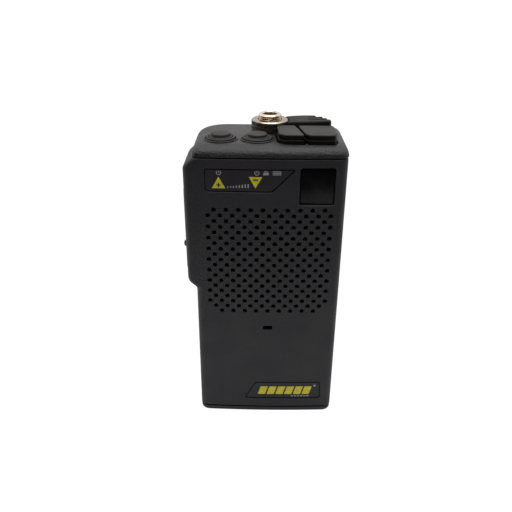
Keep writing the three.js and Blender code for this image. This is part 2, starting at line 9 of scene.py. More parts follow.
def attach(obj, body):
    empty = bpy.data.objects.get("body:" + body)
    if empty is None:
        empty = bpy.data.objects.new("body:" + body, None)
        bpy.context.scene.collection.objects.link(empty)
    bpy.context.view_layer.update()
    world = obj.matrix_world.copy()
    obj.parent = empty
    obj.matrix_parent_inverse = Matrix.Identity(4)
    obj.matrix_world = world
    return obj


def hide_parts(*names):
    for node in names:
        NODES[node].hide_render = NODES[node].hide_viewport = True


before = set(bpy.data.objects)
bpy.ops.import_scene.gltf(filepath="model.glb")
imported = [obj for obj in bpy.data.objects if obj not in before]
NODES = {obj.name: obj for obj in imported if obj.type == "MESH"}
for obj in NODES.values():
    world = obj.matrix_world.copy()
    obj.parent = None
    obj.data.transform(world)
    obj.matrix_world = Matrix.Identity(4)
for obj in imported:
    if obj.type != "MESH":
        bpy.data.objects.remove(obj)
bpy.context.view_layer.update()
scene = bpy.context.scene
rad = math.radians

# Hand-held two-way radio, aerial unscrewed. Shapes below are written in millimetres in the part's own
# frame (+Z up, front faces -Y) and scaled to metres when a piece is finished.

# ------------------------------------------------------------------ materials
_tex = {}


def shader(name):
    m = bpy.data.materials.new(name)
    m.use_nodes = True
    nt = m.node_tree
    nt.nodes.clear()
    out = nt.nodes.new("ShaderNodeOutputMaterial")
    b = nt.nodes.new("ShaderNodeBsdfPrincipled")
    nt.links.new(b.outputs[0], out.inputs[0])
    co = nt.nodes.new("ShaderNodeTexCoord").outputs["Object"]
    return m, nt, b, co


def noise(nt, co, scale, detail=2.0, rough=0.5, stretch=None, distortion=0.0):
    if stretch:
        mp = nt.nodes.new("ShaderNodeMapping")
        mp.inputs["Scale"].default_value = stretch
        nt.links.new(co, mp.inputs[0])
        co = mp.outputs[0]
    n = nt.nodes.new("ShaderNodeTexNoise")
    n.inputs["Scale"].default_value = scale
    n.inputs["Detail"].default_value = detail
    n.inputs["Roughness"].default_value = rough
    n.inputs["Distortion"].default_value = distortion
    nt.links.new(co, n.inputs["Vector"])
    return n.outputs[0]


def voronoi(nt, co, scale):
    n = nt.nodes.new("ShaderNodeTexVoronoi")
    n.inputs["Scale"].default_value = scale
    nt.links.new(co, n.inputs["Vector"])
    return n.outputs["Distance"]


def remap(nt, fac, a, b, lo=0.0, hi=1.0, smooth=True):
    n = nt.nodes.new("ShaderNodeMapRange")
    n.interpolation_type = "SMOOTHSTEP" if smooth else "LINEAR"
    for k, v in zip(("From Min", "From Max", "To Min", "To Max"), (a, b, lo, hi)):
        n.inputs[k].default_value = v
    nt.links.new(fac, n.inputs["Value"])
    return n.outputs[0]


def mix(nt, fac, a, b):
    n = nt.nodes.new("ShaderNodeMix")
    n.data_type = "RGBA"
    nt.links.new(fac, n.inputs["Factor"])
    for s, v in ((n.inputs[6], a), (n.inputs[7], b)):
        if isinstance(v, tuple):
            s.default_value = (*v[:3], 1)
        else:
            nt.links.new(v, s)
    return n.outputs[2]


def math_node(nt, op, a, b):
    n = nt.nodes.new("ShaderNodeMath")
    n.operation = op
    for s, v in zip(n.inputs, (a, b)):
        if isinstance(v, (int, float)):
            s.default_value = v
        else:
            nt.links.new(v, s)
    return n.outputs[0]


def bump(nt, b, height, strength, distance, chain=None):
    n = nt.nodes.new("ShaderNodeBump")
    n.inputs["Strength"].default_value = strength
    n.inputs["Distance"].default_value = distance
    nt.links.new(height, n.inputs["Height"])
    if chain is not None:
        nt.links.new(chain, n.inputs["Normal"])
    nt.links.new(n.outputs[0], b.inputs["Normal"])
    return n.outputs[0]


def srgb(r, g, b):
    f = lambda c: (c / 255 / 12.92) if c / 255 <= 0.04045 else ((c / 255 + 0.055) / 1.055) ** 2.4
    return (f(r), f(g), f(b))


def plastic(name, col, rough=(0.45, 0.6), spec=0.5, grain=1900, depth=0.05, strength=0.35, vary=0.18, specks=0.0, scuffs=0.0, soft_scale=70):
    """Moulded plastic or rubber: fine grain, slow colour drift, uneven gloss, a few pale specks and scuffs."""
    m, nt, b, co = shader(name)
    n1, n2 = noise(nt, co, soft_scale, 3.0), noise(nt, co, grain * 0.6, 2.0)
    lo = tuple(c * (1 - vary) for c in col)
    hi = tuple(c * (1 + vary) for c in col)
    c1 = mix(nt, remap(nt, n1, 0.35, 0.65), lo, hi)
    c2 = mix(nt, remap(nt, n2, 0.3, 0.7, 0.0, 0.55), c1, tuple(c * (1 + 1.8 * vary) for c in col))
    if specks:
        s = remap(nt, noise(nt, co, 520, 1.0), 0.74, 0.79, 0.0, specks)
        c2 = mix(nt, s, c2, (0.16, 0.155, 0.15))
    rg = remap(nt, n1, 0.3, 0.7, rough[0], rough[1])
    if scuffs:
        s = remap(nt, noise(nt, co, 130, 4.0, 0.7, (1.0, 1.0, 3.5)), 0.62, 0.72, 0.0, scuffs)
        c2 = mix(nt, s, c2, tuple(min(1, c * 2.4 + 0.01) for c in col))
        rg = math_node(nt, "SUBTRACT", rg, math_node(nt, "MULTIPLY", s, 0.3))
    nt.links.new(c2, b.inputs["Base Color"])
    nt.links.new(rg, b.inputs["Roughness"])
    b.inputs["Specular IOR Level"].default_value = spec
    h = noise(nt, co, grain, 3.0, 0.6)
    v = voronoi(nt, co, grain * 0.8)
    hh = math_node(nt, "ADD", h, math_node(nt, "MULTIPLY", v, 0.6))
    bump(nt, b, hh, strength, depth * 0.001)
    return m


def metal(name, col, rough=(0.2, 0.35), tint=None, scratch=(1, 1, 14), scale=700, strength=0.12, depth=0.02, tarnish=0.35):
    m, nt, b, co = shader(name)
    n1 = noise(nt, co, 160, 4.0, 0.6)
    n2 = noise(nt, co, scale, 3.0, 0.6, scratch)
    base = mix(nt, remap(nt, n1, 0.35, 0.7, 0.0, tarnish), col, tint or tuple(c * 0.6 for c in col))
    nt.links.new(base, b.inputs["Base Color"])
    b.inputs["Metallic"].default_value = 1.0
    nt.links.new(remap(nt, n2, 0.3, 0.7, rough[0], rough[1]), b.inputs["Roughness"])
    bump(nt, b, n2, strength, depth * 0.001)
    return m


def paint(name, col, rough=0.45, vary=0.12, spec=0.4):
    m, nt, b, co = shader(name)
    n = noise(nt, co, 900, 3.0, 0.6)
    c = mix(nt, remap(nt, n, 0.3, 0.7), tuple(x * (1 - vary) for x in col), tuple(min(1, x * (1 + vary)) for x in col))
    nt.links.new(c, b.inputs["Base Color"])
    nt.links.new(remap(nt, n, 0.3, 0.7, rough - 0.08, rough + 0.08), b.inputs["Roughness"])
    b.inputs["Specular IOR Level"].default_value = spec
    bump(nt, b, n, 0.08, 0.00002)
    return m


M = {}
M["case"] = plastic("case_plastic", (0.0106, 0.0090, 0.0114), rough=(0.50, 0.62), spec=0.44, grain=2000, depth=0.12, strength=0.7, scuffs=0.10)
M["cap"] = plastic("cap_plastic", (0.0108, 0.0097, 0.0108), rough=(0.34, 0.45), spec=0.48, grain=1900, depth=0.22, strength=1.0, scuffs=0.12)
M["base"] = plastic("pack_plastic", (0.0140, 0.0124, 0.0148), rough=(0.48, 0.6), spec=0.46, grain=2100, depth=0.045, strength=0.5, scuffs=0.15)
M["key"] = plastic("key_rubber", (0.0068, 0.0052, 0.0042), rough=(0.54, 0.64), spec=0.58, grain=2600, depth=0.03, strength=0.4, vary=0.12)
M["cover"] = plastic("cover_rubber", (0.0060, 0.0052, 0.0045), rough=(0.56, 0.68), spec=0.27, grain=2600, depth=0.03, strength=0.4, vary=0.12)
M["ptt"] = plastic("ptt_rubber", (0.022, 0.021, 0.020), rough=(0.6, 0.72), spec=0.35, grain=2400, depth=0.04, strength=0.5, vary=0.12)
M["label"] = plastic("label_film", (0.0190, 0.0165, 0.0200), rough=(0.36, 0.46), spec=0.38, grain=3000, depth=0.012, strength=0.3, vary=0.10)
M["badge"] = plastic("badge_film", (0.0125, 0.0116, 0.0132), rough=(0.38, 0.48), spec=0.34, grain=3000, depth=0.012, strength=0.3, vary=0.10)
M["black"] = plastic("black_plastic", (0.010, 0.010, 0.010), rough=(0.45, 0.6), spec=0.4, grain=1800, depth=0.02, strength=0.3)
# darker, duller copy of the key rubber for the keys' sides: painted shade
M["side"] = plastic("key_rubber_painted_shade", (0.0032, 0.0026, 0.0028), rough=(0.50, 0.60), spec=0.20, grain=2600, depth=0.03, strength=0.4, vary=0.12)
for k in ("key", "cover"):
    for nd in M[k].node_tree.nodes:
        if nd.bl_idname == "ShaderNodeBsdfPrincipled":
            nd.inputs["Specular Tint"].default_value = (1.0, 0.94, 0.88, 1)
M["yellow"] = paint("ink_yellow", srgb(205, 194, 48), 0.5)
M["pale"] = paint("ink_pale", srgb(152, 150, 152), 0.5)
M["white"] = paint("ink_white", srgb(172, 172, 176), 0.5)
M["dark_ink"] = paint("ink_dark", srgb(34, 33, 28), 0.5)
M["nickel"] = metal("nickel", (0.50, 0.455, 0.385), rough=(0.16, 0.34), tint=(0.20, 0.155, 0.115), tarnish=0.7)
M["bush"] = metal("brass_bush", (0.78, 0.72, 0.61), rough=(0.14, 0.26), tint=(0.52, 0.44, 0.33), tarnish=0.6)


def two_tone(m, low, high, z0, z1):
    """Threads darker and browner than the worn rim above them."""
    nt = m.node_tree
    b = [n for n in nt.nodes if n.bl_idname == "ShaderNodeBsdfPrincipled"][0]
    co = [n for n in nt.nodes if n.bl_idname == "ShaderNodeTexCoord"][0].outputs["Object"]
    sep = nt.nodes.new("ShaderNodeSeparateXYZ")
    nt.links.new(co, sep.inputs[0])
    n = noise(nt, co, 420, 3.0, 0.6)
    z = math_node(nt, "ADD", sep.outputs[2], math_node(nt, "MULTIPLY", n, 0.0004))
    tone = mix(nt, remap(nt, z, z0, z1), low, high)
    old = b.inputs["Base Color"].links[0].from_socket
    mm = nt.nodes.new("ShaderNodeMix")
    mm.data_type, mm.blend_type = "RGBA", "MULTIPLY"
    mm.inputs["Factor"].default_value = 1.0
    nt.links.new(old, mm.inputs[6])
    nt.links.new(tone, mm.inputs[7])
    nt.links.new(mm.outputs[2], b.inputs["Base Color"])


two_tone(M["bush"], (0.62, 0.46, 0.30), (1.0, 1.0, 1.0), 0.13885, 0.13925)
M["brass"] = metal("brass", (0.78, 0.58, 0.28), rough=(0.2, 0.35), tint=(0.45, 0.30, 0.14))
M["steel"] = metal("steel", (0.50, 0.51, 0.52), rough=(0.22, 0.38), tint=(0.33, 0.32, 0.31))
M["spring"] = metal("spring_steel", (0.56, 0.57, 0.58), rough=(0.15, 0.28), tint=(0.32, 0.31, 0.30))
M["tin"] = metal("tin_plate", (0.66, 0.67, 0.68), rough=(0.25, 0.4), tint=(0.5, 0.5, 0.48))
M["magnet"] = metal("magnet", (0.28, 0.29, 0.30), rough=(0.35, 0.5), tint=(0.15, 0.15, 0.15))
M["ptfe"] = plastic("ptfe", (0.80, 0.78, 0.72), rough=(0.35, 0.45), spec=0.5, grain=900, depth=0.02, strength=0.2, vary=0.06)
M["sleeve"] = plastic("cell_sleeve", srgb(44, 104, 140), rough=(0.22, 0.32), spec=0.5, grain=600, depth=0.02, strength=0.2, vary=0.1)
M["cone"] = plastic("cone_fibre", (0.028, 0.024, 0.021), rough=(0.85, 0.95), spec=0.2, grain=1400, depth=0.08, strength=0.6)


def make_cloth():
    m, nt, b, co = shader("speaker_felt")
    w = [nt.nodes.new("ShaderNodeTexWave") for _ in range(2)]
    for k, d in zip(w, ("X", "Z")):
        k.bands_direction = d
        k.inputs["Scale"].default_value = 900
        k.inputs["Distortion"].default_value = 0.6
        nt.links.new(co, k.inputs["Vector"])
    h = math_node(nt, "MULTIPLY", w[0].outputs["Fac"], w[1].outputs["Fac"])
    nt.links.new(mix(nt, h, (0.0015, 0.0015, 0.0016), (0.006, 0.006, 0.006)), b.inputs["Base Color"])
    b.inputs["Roughness"].default_value = 0.95
    b.inputs["Specular IOR Level"].default_value = 0.1
    bump(nt, b, h, 0.6, 0.0001)
    return m


def make_lens():
    m, nt, b, co = shader("smoked_lens")
    n = noise(nt, co, 220, 3.0)
    # dark as the lens is, the digits behind it only ghost through as slightly paler strokes
    br = nt.nodes.new("ShaderNodeTexBrick")
    for k, v in (("Scale", 1000.0), ("Mortar Size", 0.22), ("Mortar Smooth", 0.6), ("Brick Width", 2.6), ("Row Height", 2.2)):
        br.inputs[k].default_value = v
    for k, v in (("Color1", 0.0), ("Color2", 0.25), ("Mortar", 1.0)):
        br.inputs[k].default_value = (v, v, v, 1)
    sep, com = nt.nodes.new("ShaderNodeSeparateXYZ"), nt.nodes.new("ShaderNodeCombineXYZ")
    nt.links.new(co, sep.inputs[0])
    nt.links.new(sep.outputs[0], com.inputs[0])
    nt.links.new(sep.outputs[2], com.inputs[1])
    nt.links.new(com.outputs[0], br.inputs["Vector"])
    # the ramp on height fades the paler strokes out over the top of the lens, leaving it darker there: painted shade
    # under the window's upper edge
    ghost = math_node(nt, "MULTIPLY", math_node(nt, "MULTIPLY", br.outputs[0], remap(nt, n, 0.42, 0.6)), remap(nt, sep.outputs[2], 0.1205, 0.1185))
    nt.links.new(mix(nt, ghost, (0.0030, 0.0024, 0.0031), (0.0080, 0.0068, 0.0078)), b.inputs["Base Color"])
    nt.links.new(remap(nt, n, 0.3, 0.7, 0.26, 0.32), b.inputs["Roughness"])
    b.inputs["Specular IOR Level"].default_value = 0.18
    return m


def make_board():
    m, nt, b, co = shader("board")
    n = noise(nt, co, 260, 3.0)
    br = nt.nodes.new("ShaderNodeTexBrick")
    br.inputs["Scale"].default_value = 160
    br.inputs["Mortar Size"].default_value = 0.012
    br.inputs["Color1"].default_value = (0.010, 0.075, 0.028, 1)
    br.inputs["Color2"].default_value = (0.014, 0.095, 0.036, 1)
    br.inputs["Mortar"].default_value = (0.035, 0.17, 0.06, 1)
    nt.links.new(co, br.inputs["Vector"])
    nt.links.new(mix(nt, remap(nt, n, 0.4, 0.6, 0.0, 0.5), br.outputs[0], (0.008, 0.06, 0.022)), b.inputs["Base Color"])
    nt.links.new(remap(nt, n, 0.3, 0.7, 0.3, 0.5), b.inputs["Roughness"])
    bump(nt, b, br.outputs[0], 0.2, 0.00003)
    return m


M["cloth"], M["lens"], M["board"] = make_cloth(), make_lens(), make_board()


# ------------------------------------------------------------------ mesh tools
def obj_from(name, verts, faces):
    me = bpy.data.meshes.new(name)
    me.from_pydata([tuple(float(c) for c in v) for v in verts], [], [tuple(int(i) for i in f) for f in faces])
    ob = bpy.data.objects.new(name, me)
    scene.collection.objects.link(ob)
    outward(ob)
    return ob


def outward(ob):
    bm = bmesh.new()
    bm.from_mesh(ob.data)
    bmesh.ops.recalc_face_normals(bm, faces=bm.faces)
    bm.to_mesh(ob.data)
    bm.free()


def apply(ob):
    dg = bpy.context.evaluated_depsgraph_get()
    me = bpy.data.meshes.new_from_object(ob.evaluated_get(dg))
    ob.modifiers.clear()
    old = ob.data
    ob.data = me
    bpy.data.meshes.remove(old)
    return ob


def cut(ob, *others, op="DIFFERENCE", solver="MANIFOLD", keep=False):
    """Joins or cuts ob with the others, which are used up."""
    for o in others:
        mod = ob.modifiers.new("b", "BOOLEAN")
        mod.operation, mod.solver, mod.object = op, solver, o
        apply(ob)
        if not keep:
            me = o.data
            bpy.data.objects.remove(o)
            bpy.data.meshes.remove(me)
    return ob


def add(ob, *others):
    return cut(ob, *others, op="UNION")


def merged(name, obs):
    """Several separate bodies as one mesh object."""
    verts, faces, n = [], [], 0
    for o in obs:
        verts += [tuple(v.co) for v in o.data.vertices]
        faces += [tuple(i + n for i in p.vertices) for p in o.data.polygons]
        n += len(o.data.vertices)
        me = o.data
        bpy.data.objects.remove(o)
        bpy.data.meshes.remove(me)
    return obj_from(name, verts, faces)


def loft(name, rings, caps=True, loop=False):
    n, m = len(rings[0]), len(rings)
    verts = [p for r in rings for p in r]
    faces = []
    for k in range(m if loop else m - 1):
        a, b = k * n, ((k + 1) % m) * n
        for i in range(n):
            j = (i + 1) % n
            faces.append((a + i, a + j, b + j, b + i))
    if caps and not loop:
        faces += [tuple(range(n))[::-1], tuple(range((m - 1) * n, m * n))]
    return obj_from(name, verts, faces)


def axis_map(axis):
    return {"Z": lambda u, v, w: (u, v, w), "Y": lambda u, v, w: (u, w, v), "X": lambda u, v, w: (w, u, v)}[axis]


def signed_area(p):
    p = np.asarray(p)
    q = np.roll(p, -1, 0)
    return 0.5 * float((p[:, 0] * q[:, 1] - q[:, 0] * p[:, 1]).sum())


def grown(pts, d):
    """Polygon moved outward by d, corner for corner."""
    p = np.asarray(pts, float)
    s = 1.0 if signed_area(p) > 0 else -1.0
    a, c = np.roll(p, 1, 0), np.roll(p, -1, 0)
    e1, e2 = p - a, c - p
    e1 /= np.linalg.norm(e1, axis=1)[:, None] + 1e-12
    e2 /= np.linalg.norm(e2, axis=1)[:, None] + 1e-12
    n1, n2 = s * np.stack([e1[:, 1], -e1[:, 0]], 1), s * np.stack([e2[:, 1], -e2[:, 0]], 1)
    k = n1 + n2
    k /= np.maximum((k * n1).sum(1), 0.25)[:, None] * 1.0
    return p + k * d


def rounded(pts, r, n=5, closed=True):
    """Polygon or path with its corners rounded."""
    N, out = len(pts), []
    P = [np.array(p, float) for p in pts]
    for i in range(N):
        rr = r[i] if isinstance(r, (list, tuple)) else r
        if not closed and i in (0, N - 1):
            out.append(P[i])
            continue
        a, b, c = P[i - 1], P[i], P[(i + 1) % N]
        u, v = (a - b), (c - b)
        lu, lv = np.linalg.norm(u), np.linalg.norm(v)
        u, v = u / lu, v / lv
        ang = math.acos(max(-1, min(1, float(u @ v))))
        if rr < 1e-6 or ang > math.pi - 0.01:
            out.append(b)
            continue
        t = min(rr / math.tan(ang / 2), 0.48 * lu, 0.48 * lv)
        rr = t * math.tan(ang / 2)
        ctr = b + (u + v) / np.linalg.norm(u + v) * rr / math.sin(ang / 2)
        p0, p1 = b + u * t - ctr, b + v * t - ctr
        a0, a1 = math.atan2(p0[1], p0[0]), math.atan2(p1[1], p1[0])
        d = (a1 - a0 + math.pi) % (2 * math.pi) - math.pi
        for k in range(n + 1):
            an = a0 + d * k / n
            out.append(ctr + rr * np.array([math.cos(an), math.sin(an)]))
    return np.array(out)


def prism(name, pts, lo, hi, axis="Z", b0=0.0, b1=0.0, seg=3, grow=0.0):
    """Prism of a closed outline with rounded (b > 0) or flared (b < 0) end edges."""
    f = axis_map(axis)
    steps = []
    if b0:
        if b0 > 0:
            for k in range(seg + 1):
                a = rad(90 * k / seg)
                steps.append((lo + b0 - b0 * math.cos(a), -(b0 - b0 * math.sin(a))))
        else:
            steps += [(lo, -b0), (lo - b0, 0)]
    else:
        steps.append((lo, 0))
    if b1:
        if b1 > 0:
            for k in range(seg + 1):
                a = rad(90 * k / seg)
                steps.append((hi - b1 + b1 * math.sin(a), -(b1 - b1 * math.cos(a))))
        else:
            steps += [(hi + b1, 0), (hi, -b1)]
    else:
        steps.append((hi, 0))
    rings = []
    for w, d in steps:
        q = grown(pts, d + grow) if abs(d + grow) > 1e-9 else np.asarray(pts, float)
        rings.append([f(u, v, w) for u, v in q])
    return loft(name, rings)


def rect(x0, x1, y0, y1, r=0.0, n=5):
    p = [(x0, y0), (x1, y0), (x1, y1), (x0, y1)]
    return rounded(p, r, n) if r else np.array(p, float)


def box(name, x0, x1, y0, y1, z0, z1):
    return prism(name, rect(x0, x1, y0, y1), z0, z1)


def bevel(ob, width, seg=2, angle=30):
    mod = ob.modifiers.new("v", "BEVEL")
    mod.width, mod.segments, mod.limit_method, mod.angle_limit = width, seg, "ANGLE", rad(angle)
    mod.use_clamp_overlap = True
    mod.harden_normals = False
    return apply(ob)


def lathe(name, prof, c=(0, 0), axis="Z", n=64, radial=None):
    """Turned piece; a profile that doesn't start and end on the axis is closed on itself."""
    f = axis_map(axis)
    open_ = prof[0][0] < 1e-9 and prof[-1][0] < 1e-9
    verts, rings = [], []
    for i, (r, h) in enumerate(prof):
        if open_ and i in (0, len(prof) - 1):
            rings.append([len(verts)])
            verts.append(f(c[0], c[1], h))
            continue
        ids = []
        for k in range(n):
            a = 2 * math.pi * k / n
            q = r + (radial(a, h, r) if radial else 0.0)
            ids.append(len(verts))
            verts.append(f(c[0] + q * math.cos(a), c[1] + q * math.sin(a), h))
        rings.append(ids)
    faces = []
    m = len(rings)
    for i in range(m - 1 if open_ else m):
        a, b = rings[i], rings[(i + 1) % m]
        for k in range(n):
            j = (k + 1) % n
            if len(a) == 1:
                faces.append((a[0], b[j], b[k]))
            elif len(b) == 1:
                faces.append((a[k], a[j], b[0]))
            else:
                faces.append((a[k], a[j], b[j], b[k]))
    return obj_from(name, verts, faces)


def soft_path(prof, r=0.15, n=3):
    return [tuple(p) for p in rounded(prof, r, n, closed=False)]


def cyl(name, c, r, lo, hi, axis="Z", n=48, flare=0.0, b=0.0):
    """Drill or pin; flare is not used, b rounds both ends."""
    if b:
        prof = [(0, lo)] + [(r - b + b * math.sin(rad(t)), lo + b - b * math.cos(rad(t))) for t in (0, 45, 90)] \
            + [(r - b + b * math.cos(rad(t)), hi - b + b * math.sin(rad(t))) for t in (0, 45, 90)] + [(0, hi)]
    else:
        prof = [(0, lo), (r, lo), (r, hi), (0, hi)]
    return lathe(name, prof, c, axis, n)


def done(ob, body, mat, replaces=(), angle=32, weighted=True, mats=None):
    """Scales a piece to metres, smooths it, gives it its material and ties it to its body."""
    bm = bmesh.new()
    bm.from_mesh(ob.data)
    bmesh.ops.remove_doubles(bm, verts=bm.verts, dist=1e-5)
    bmesh.ops.dissolve_degenerate(bm, edges=bm.edges, dist=1e-5)
    loose = [v for v in bm.verts if not v.link_faces]
    bmesh.ops.delete(bm, geom=loose, context="VERTS")
    bm.to_mesh(ob.data)
    bm.free()
    me = ob.data
    me.transform(Matrix.Scale(0.001, 4))
    for p in me.polygons:
        p.use_smooth = True
    me.set_sharp_from_angle(angle=rad(angle))
    me.materials.clear()
    for k in (mats or [mat]):
        me.materials.append(M[k])
    me.update()
    if weighted:
        w = ob.modifiers.new("wn", "WEIGHTED_NORMAL")
        w.keep_sharp = True
        w.weight = 50
        apply(ob)
    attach(ob, body)
    if replaces:
        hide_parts(*((replaces,) if isinstance(replaces, str) else replaces))
    return ob


# ------------------------------------------------------------------ case form
Z_TOP, Y_SPLIT = 132.4, 7.0
BUMP = [(-31.30, 67.0), (-31.36, 67.9), (-31.9, 68.8), (-32.9, 69.7), (-34.1, 70.7), (-34.8, 71.9), (-35.0, 73.2), (-35.0, 123.0), (-34.2, 124.6), (-31.10, 127.5)]
_bz = np.arange(60, 132, 0.05)
_bx = np.interp(_bz, [p[1] for p in BUMP], [p[0] for p in BUMP])


def sides(z):
    t = min(max(z, 0) / Z_TOP, 1)
    return -31.45 + 0.35 * t, 31.6 - 0.3 * t


def bump_out(z, x0):
    if z < 66.5 or z > 127.45:
        return 0.0
    k = np.abs(_bz - z) < 0.55
    return max(0.0, x0 - float(_bx[k].mean()))


def crown(x):
    return -19.5 + 0.000855 * x * x


def plan(z, l=0.0, r=0.0, f=0.0, b=0.0, rf=3.0, rbl=12.0, rbr=9.4, out=0.0, na=8, nb=12, nc=30, dy=0.0):
    """Case outline at height z, moved in at the left, right, front and back; its front is crowned."""
    x0, x1 = sides(z)
    x0, x1 = x0 + l, x1 - r
    yb = 19.5 - b
    P = []
    # left side, with the talk-bar housing standing out by `out`
    P.append((x0, 5.02))
    R = min(2.0, out)
    for k in range(6):
        a = rad(90 * k / 5)
        P.append((x0 - (out - R) - R * math.sin(a), 5.0 - 2.0 * (1 - math.cos(a))))
    rl = rf - 0.4 * min(out / 3.7, 1)
    xe = x0 - out

    def corner(cx, rr, sgn):
        s = math.atan(0.00171 * (cx - sgn * 0))
        ae = rad(270) + s
        cy = crown(cx + rr * math.cos(ae)) + f - rr * math.sin(ae)
        return ae, cy

    cx = xe + rl
    ae, cy = corner(cx, rl, 1)
    for k in range(na + 1):
        a = math.pi + (ae - math.pi) * k / na
        P.append((cx + rl * math.cos(a), cy + rl * math.sin(a)))
    xa = P[-1][0]
    cxr = x1 - rf
    ar, cyr = corner(cxr, rf, -1)
    xb = cxr + rf * math.cos(ar)
    for k in range(1, nc):
        x = xa + (xb - xa) * k / nc
        P.append((x, crown(x) + f))
    for k in range(na + 1):
        a = ar + (2 * math.pi - ar) * k / na
        P.append((cxr + rf * math.cos(a), cyr + rf * math.sin(a)))
    P.append((x1, 5.0))
    for k in range(nb + 1):
        a = rad(90 * k / nb)
        P.append((x1 - rbr + rbr * math.cos(a), yb - rbr + rbr * math.sin(a)))
    for k in range(nb + 1):
        a = rad(90 + 90 * k / nb)
        P.append((x0 + rbl + rbl * math.cos(a), yb - rbl + rbl * math.sin(a)))
    return [(x, y + dy) for x, y in P]


def case_ring(z, inset=0.0, dy=0.0, with_bump=True):
    x0, _ = sides(z)
    o = bump_out(z, x0) if with_bump else 0.0
    return [(x, y, z) for x, y in plan(z, inset, inset, inset, inset, rf=3.0 - inset * 0.5, out=o, dy=dy)]


def case_skin(name):
    zs = [(2.95, 0.30), (3.00, 0.16), (3.10, 0.06), (3.25, 0.0), (8, 0), (16, 0), (30, 0), (45, 0), (60, 0), (66, 0)]
    zs += [(z, 0) for z in np.arange(67.0, 74.3, 0.4)] + [(z, 0) for z in (78, 85, 92, 99, 106, 113, 119)]
    zs += [(z, 0) for z in np.arange(121.4, 126.7, 0.4)] + [(126.82, 0.0), (126.98, 0.04), (127.12, 0.12), (127.22, 0.23), (127.29, 0.36), (127.32, 0.50)]
    return loft(name, [case_ring(z, i) for z, i in zs])


def hull(name, z0, z1, dy):
    return loft(name, [case_ring(z0, 0, dy, False), case_ring(z1, 0, dy, False)])


def cavity(name, z0, z1, grow=0.0):
    pts = rounded([(-29.1, -17.3), (29.2, -17.3), (29.2, 17.5), (-29.1, 17.5)], [1.4, 1.4, 7.4, 10.0], 8)
    return prism(name, pts, z0, z1, grow=grow)


def chains(poly, radii, step=1.4, n=5):
    """Lower and upper edges of a left-to-right outline, sampled at the same x."""
    P = rounded(poly, radii, n)
    x0, x1 = P[:, 0].min() + 1e-3, P[:, 0].max() - 1e-3
    xs = sorted(set(np.round(np.clip(np.concatenate([P[:, 0], np.arange(x0, x1, step)]), x0, x1), 4)))
    keep = [xs[0]]
    for x in xs[1:]:
        if x - keep[-1] > 0.06:
            keep.append(x)
    if xs[-1] - keep[-1] > 1e-3:
        keep[-1] = xs[-1]
    lo, hi = [], []
    Q = np.roll(P, -1, 0)
    for x in keep:
        zz = []
        for a, b in zip(P, Q):
            if (a[0] - x) * (b[0] - x) <= 0 and abs(a[0] - b[0]) > 1e-12:
                zz.append(a[1] + (b[1] - a[1]) * (x - a[0]) / (b[0] - a[0]))
        lo.append((x, min(zz)))
        hi.append((x, max(zz)))
    return np.array(lo), np.array(hi)


def crowned(name, poly, radii, steps, step=1.4):
    """Plate or cutter whose faces follow the crowned front: steps are (outline growth, depth from the surface)."""
    lo, hi = chains(poly, radii, step)
    N = len(lo)
    loop = np.concatenate([lo, hi[::-1]])
    verts, faces = [], []
    for g, d in steps:
        q = grown(loop, g)
        verts += [(x, crown(x) + d, z) for x, z in q]
    n = 2 * N
    for k in range(len(steps) - 1):
        for i in range(n):
            j = (i + 1) % n
            faces.append((k * n + i, k * n + j, (k + 1) * n + j, (k + 1) * n + i))
    for base in (0, (len(steps) - 1) * n):
        for i in range(N - 1):
            faces.append((base + i, base + i + 1, base + n - 2 - i, base + n - 1 - i))
    return obj_from(name, verts, faces)


def split_cutter(name, back):
    """Takes away everything behind (or before) the front/rear parting, leaving a small chamfer."""
    rings = []
    for z in (-5, 140):
        x0, x1 = sides(z)
        y, s = (Y_SPLIT, 1) if back else (Y_SPLIT + 0.3, -1)
        c = 0.28
        rings.append([(x, yy, z) for x, yy in [(-50, y - s * (c + 0.2)), (x0 - 0.2, y - s * (c + 0.2)), (x0 + c, y), (x1 - c, y),
                                               (x1 + 0.2, y - s * (c + 0.2)), (50, y - s * (c + 0.2)), (50, y + s * 60), (-50, y + s * 60)]])
    return loft(name, rings)


# ------------------------------------------------------------------ front case
PTT = dict(y=-6.9, z=95.0, hy=8.3, hz=19.0, face=-35.4)
WINDOW = (12.2, 26.5, 108.1, 123.85)
LABEL = [(-26.1, 113.55), (1.25, 113.55), (10.9, 123.3), (-26.1, 123.3)]
LABEL_R = [1.7, 1.6, 0.5, 0.9]
BADGE = [(-10.4, 7.8), (26.3, 7.8), (25.8, 17.6), (-5.2, 17.6)]
BADGE_R = [0.9, 1.3, 1.3, 1.5]


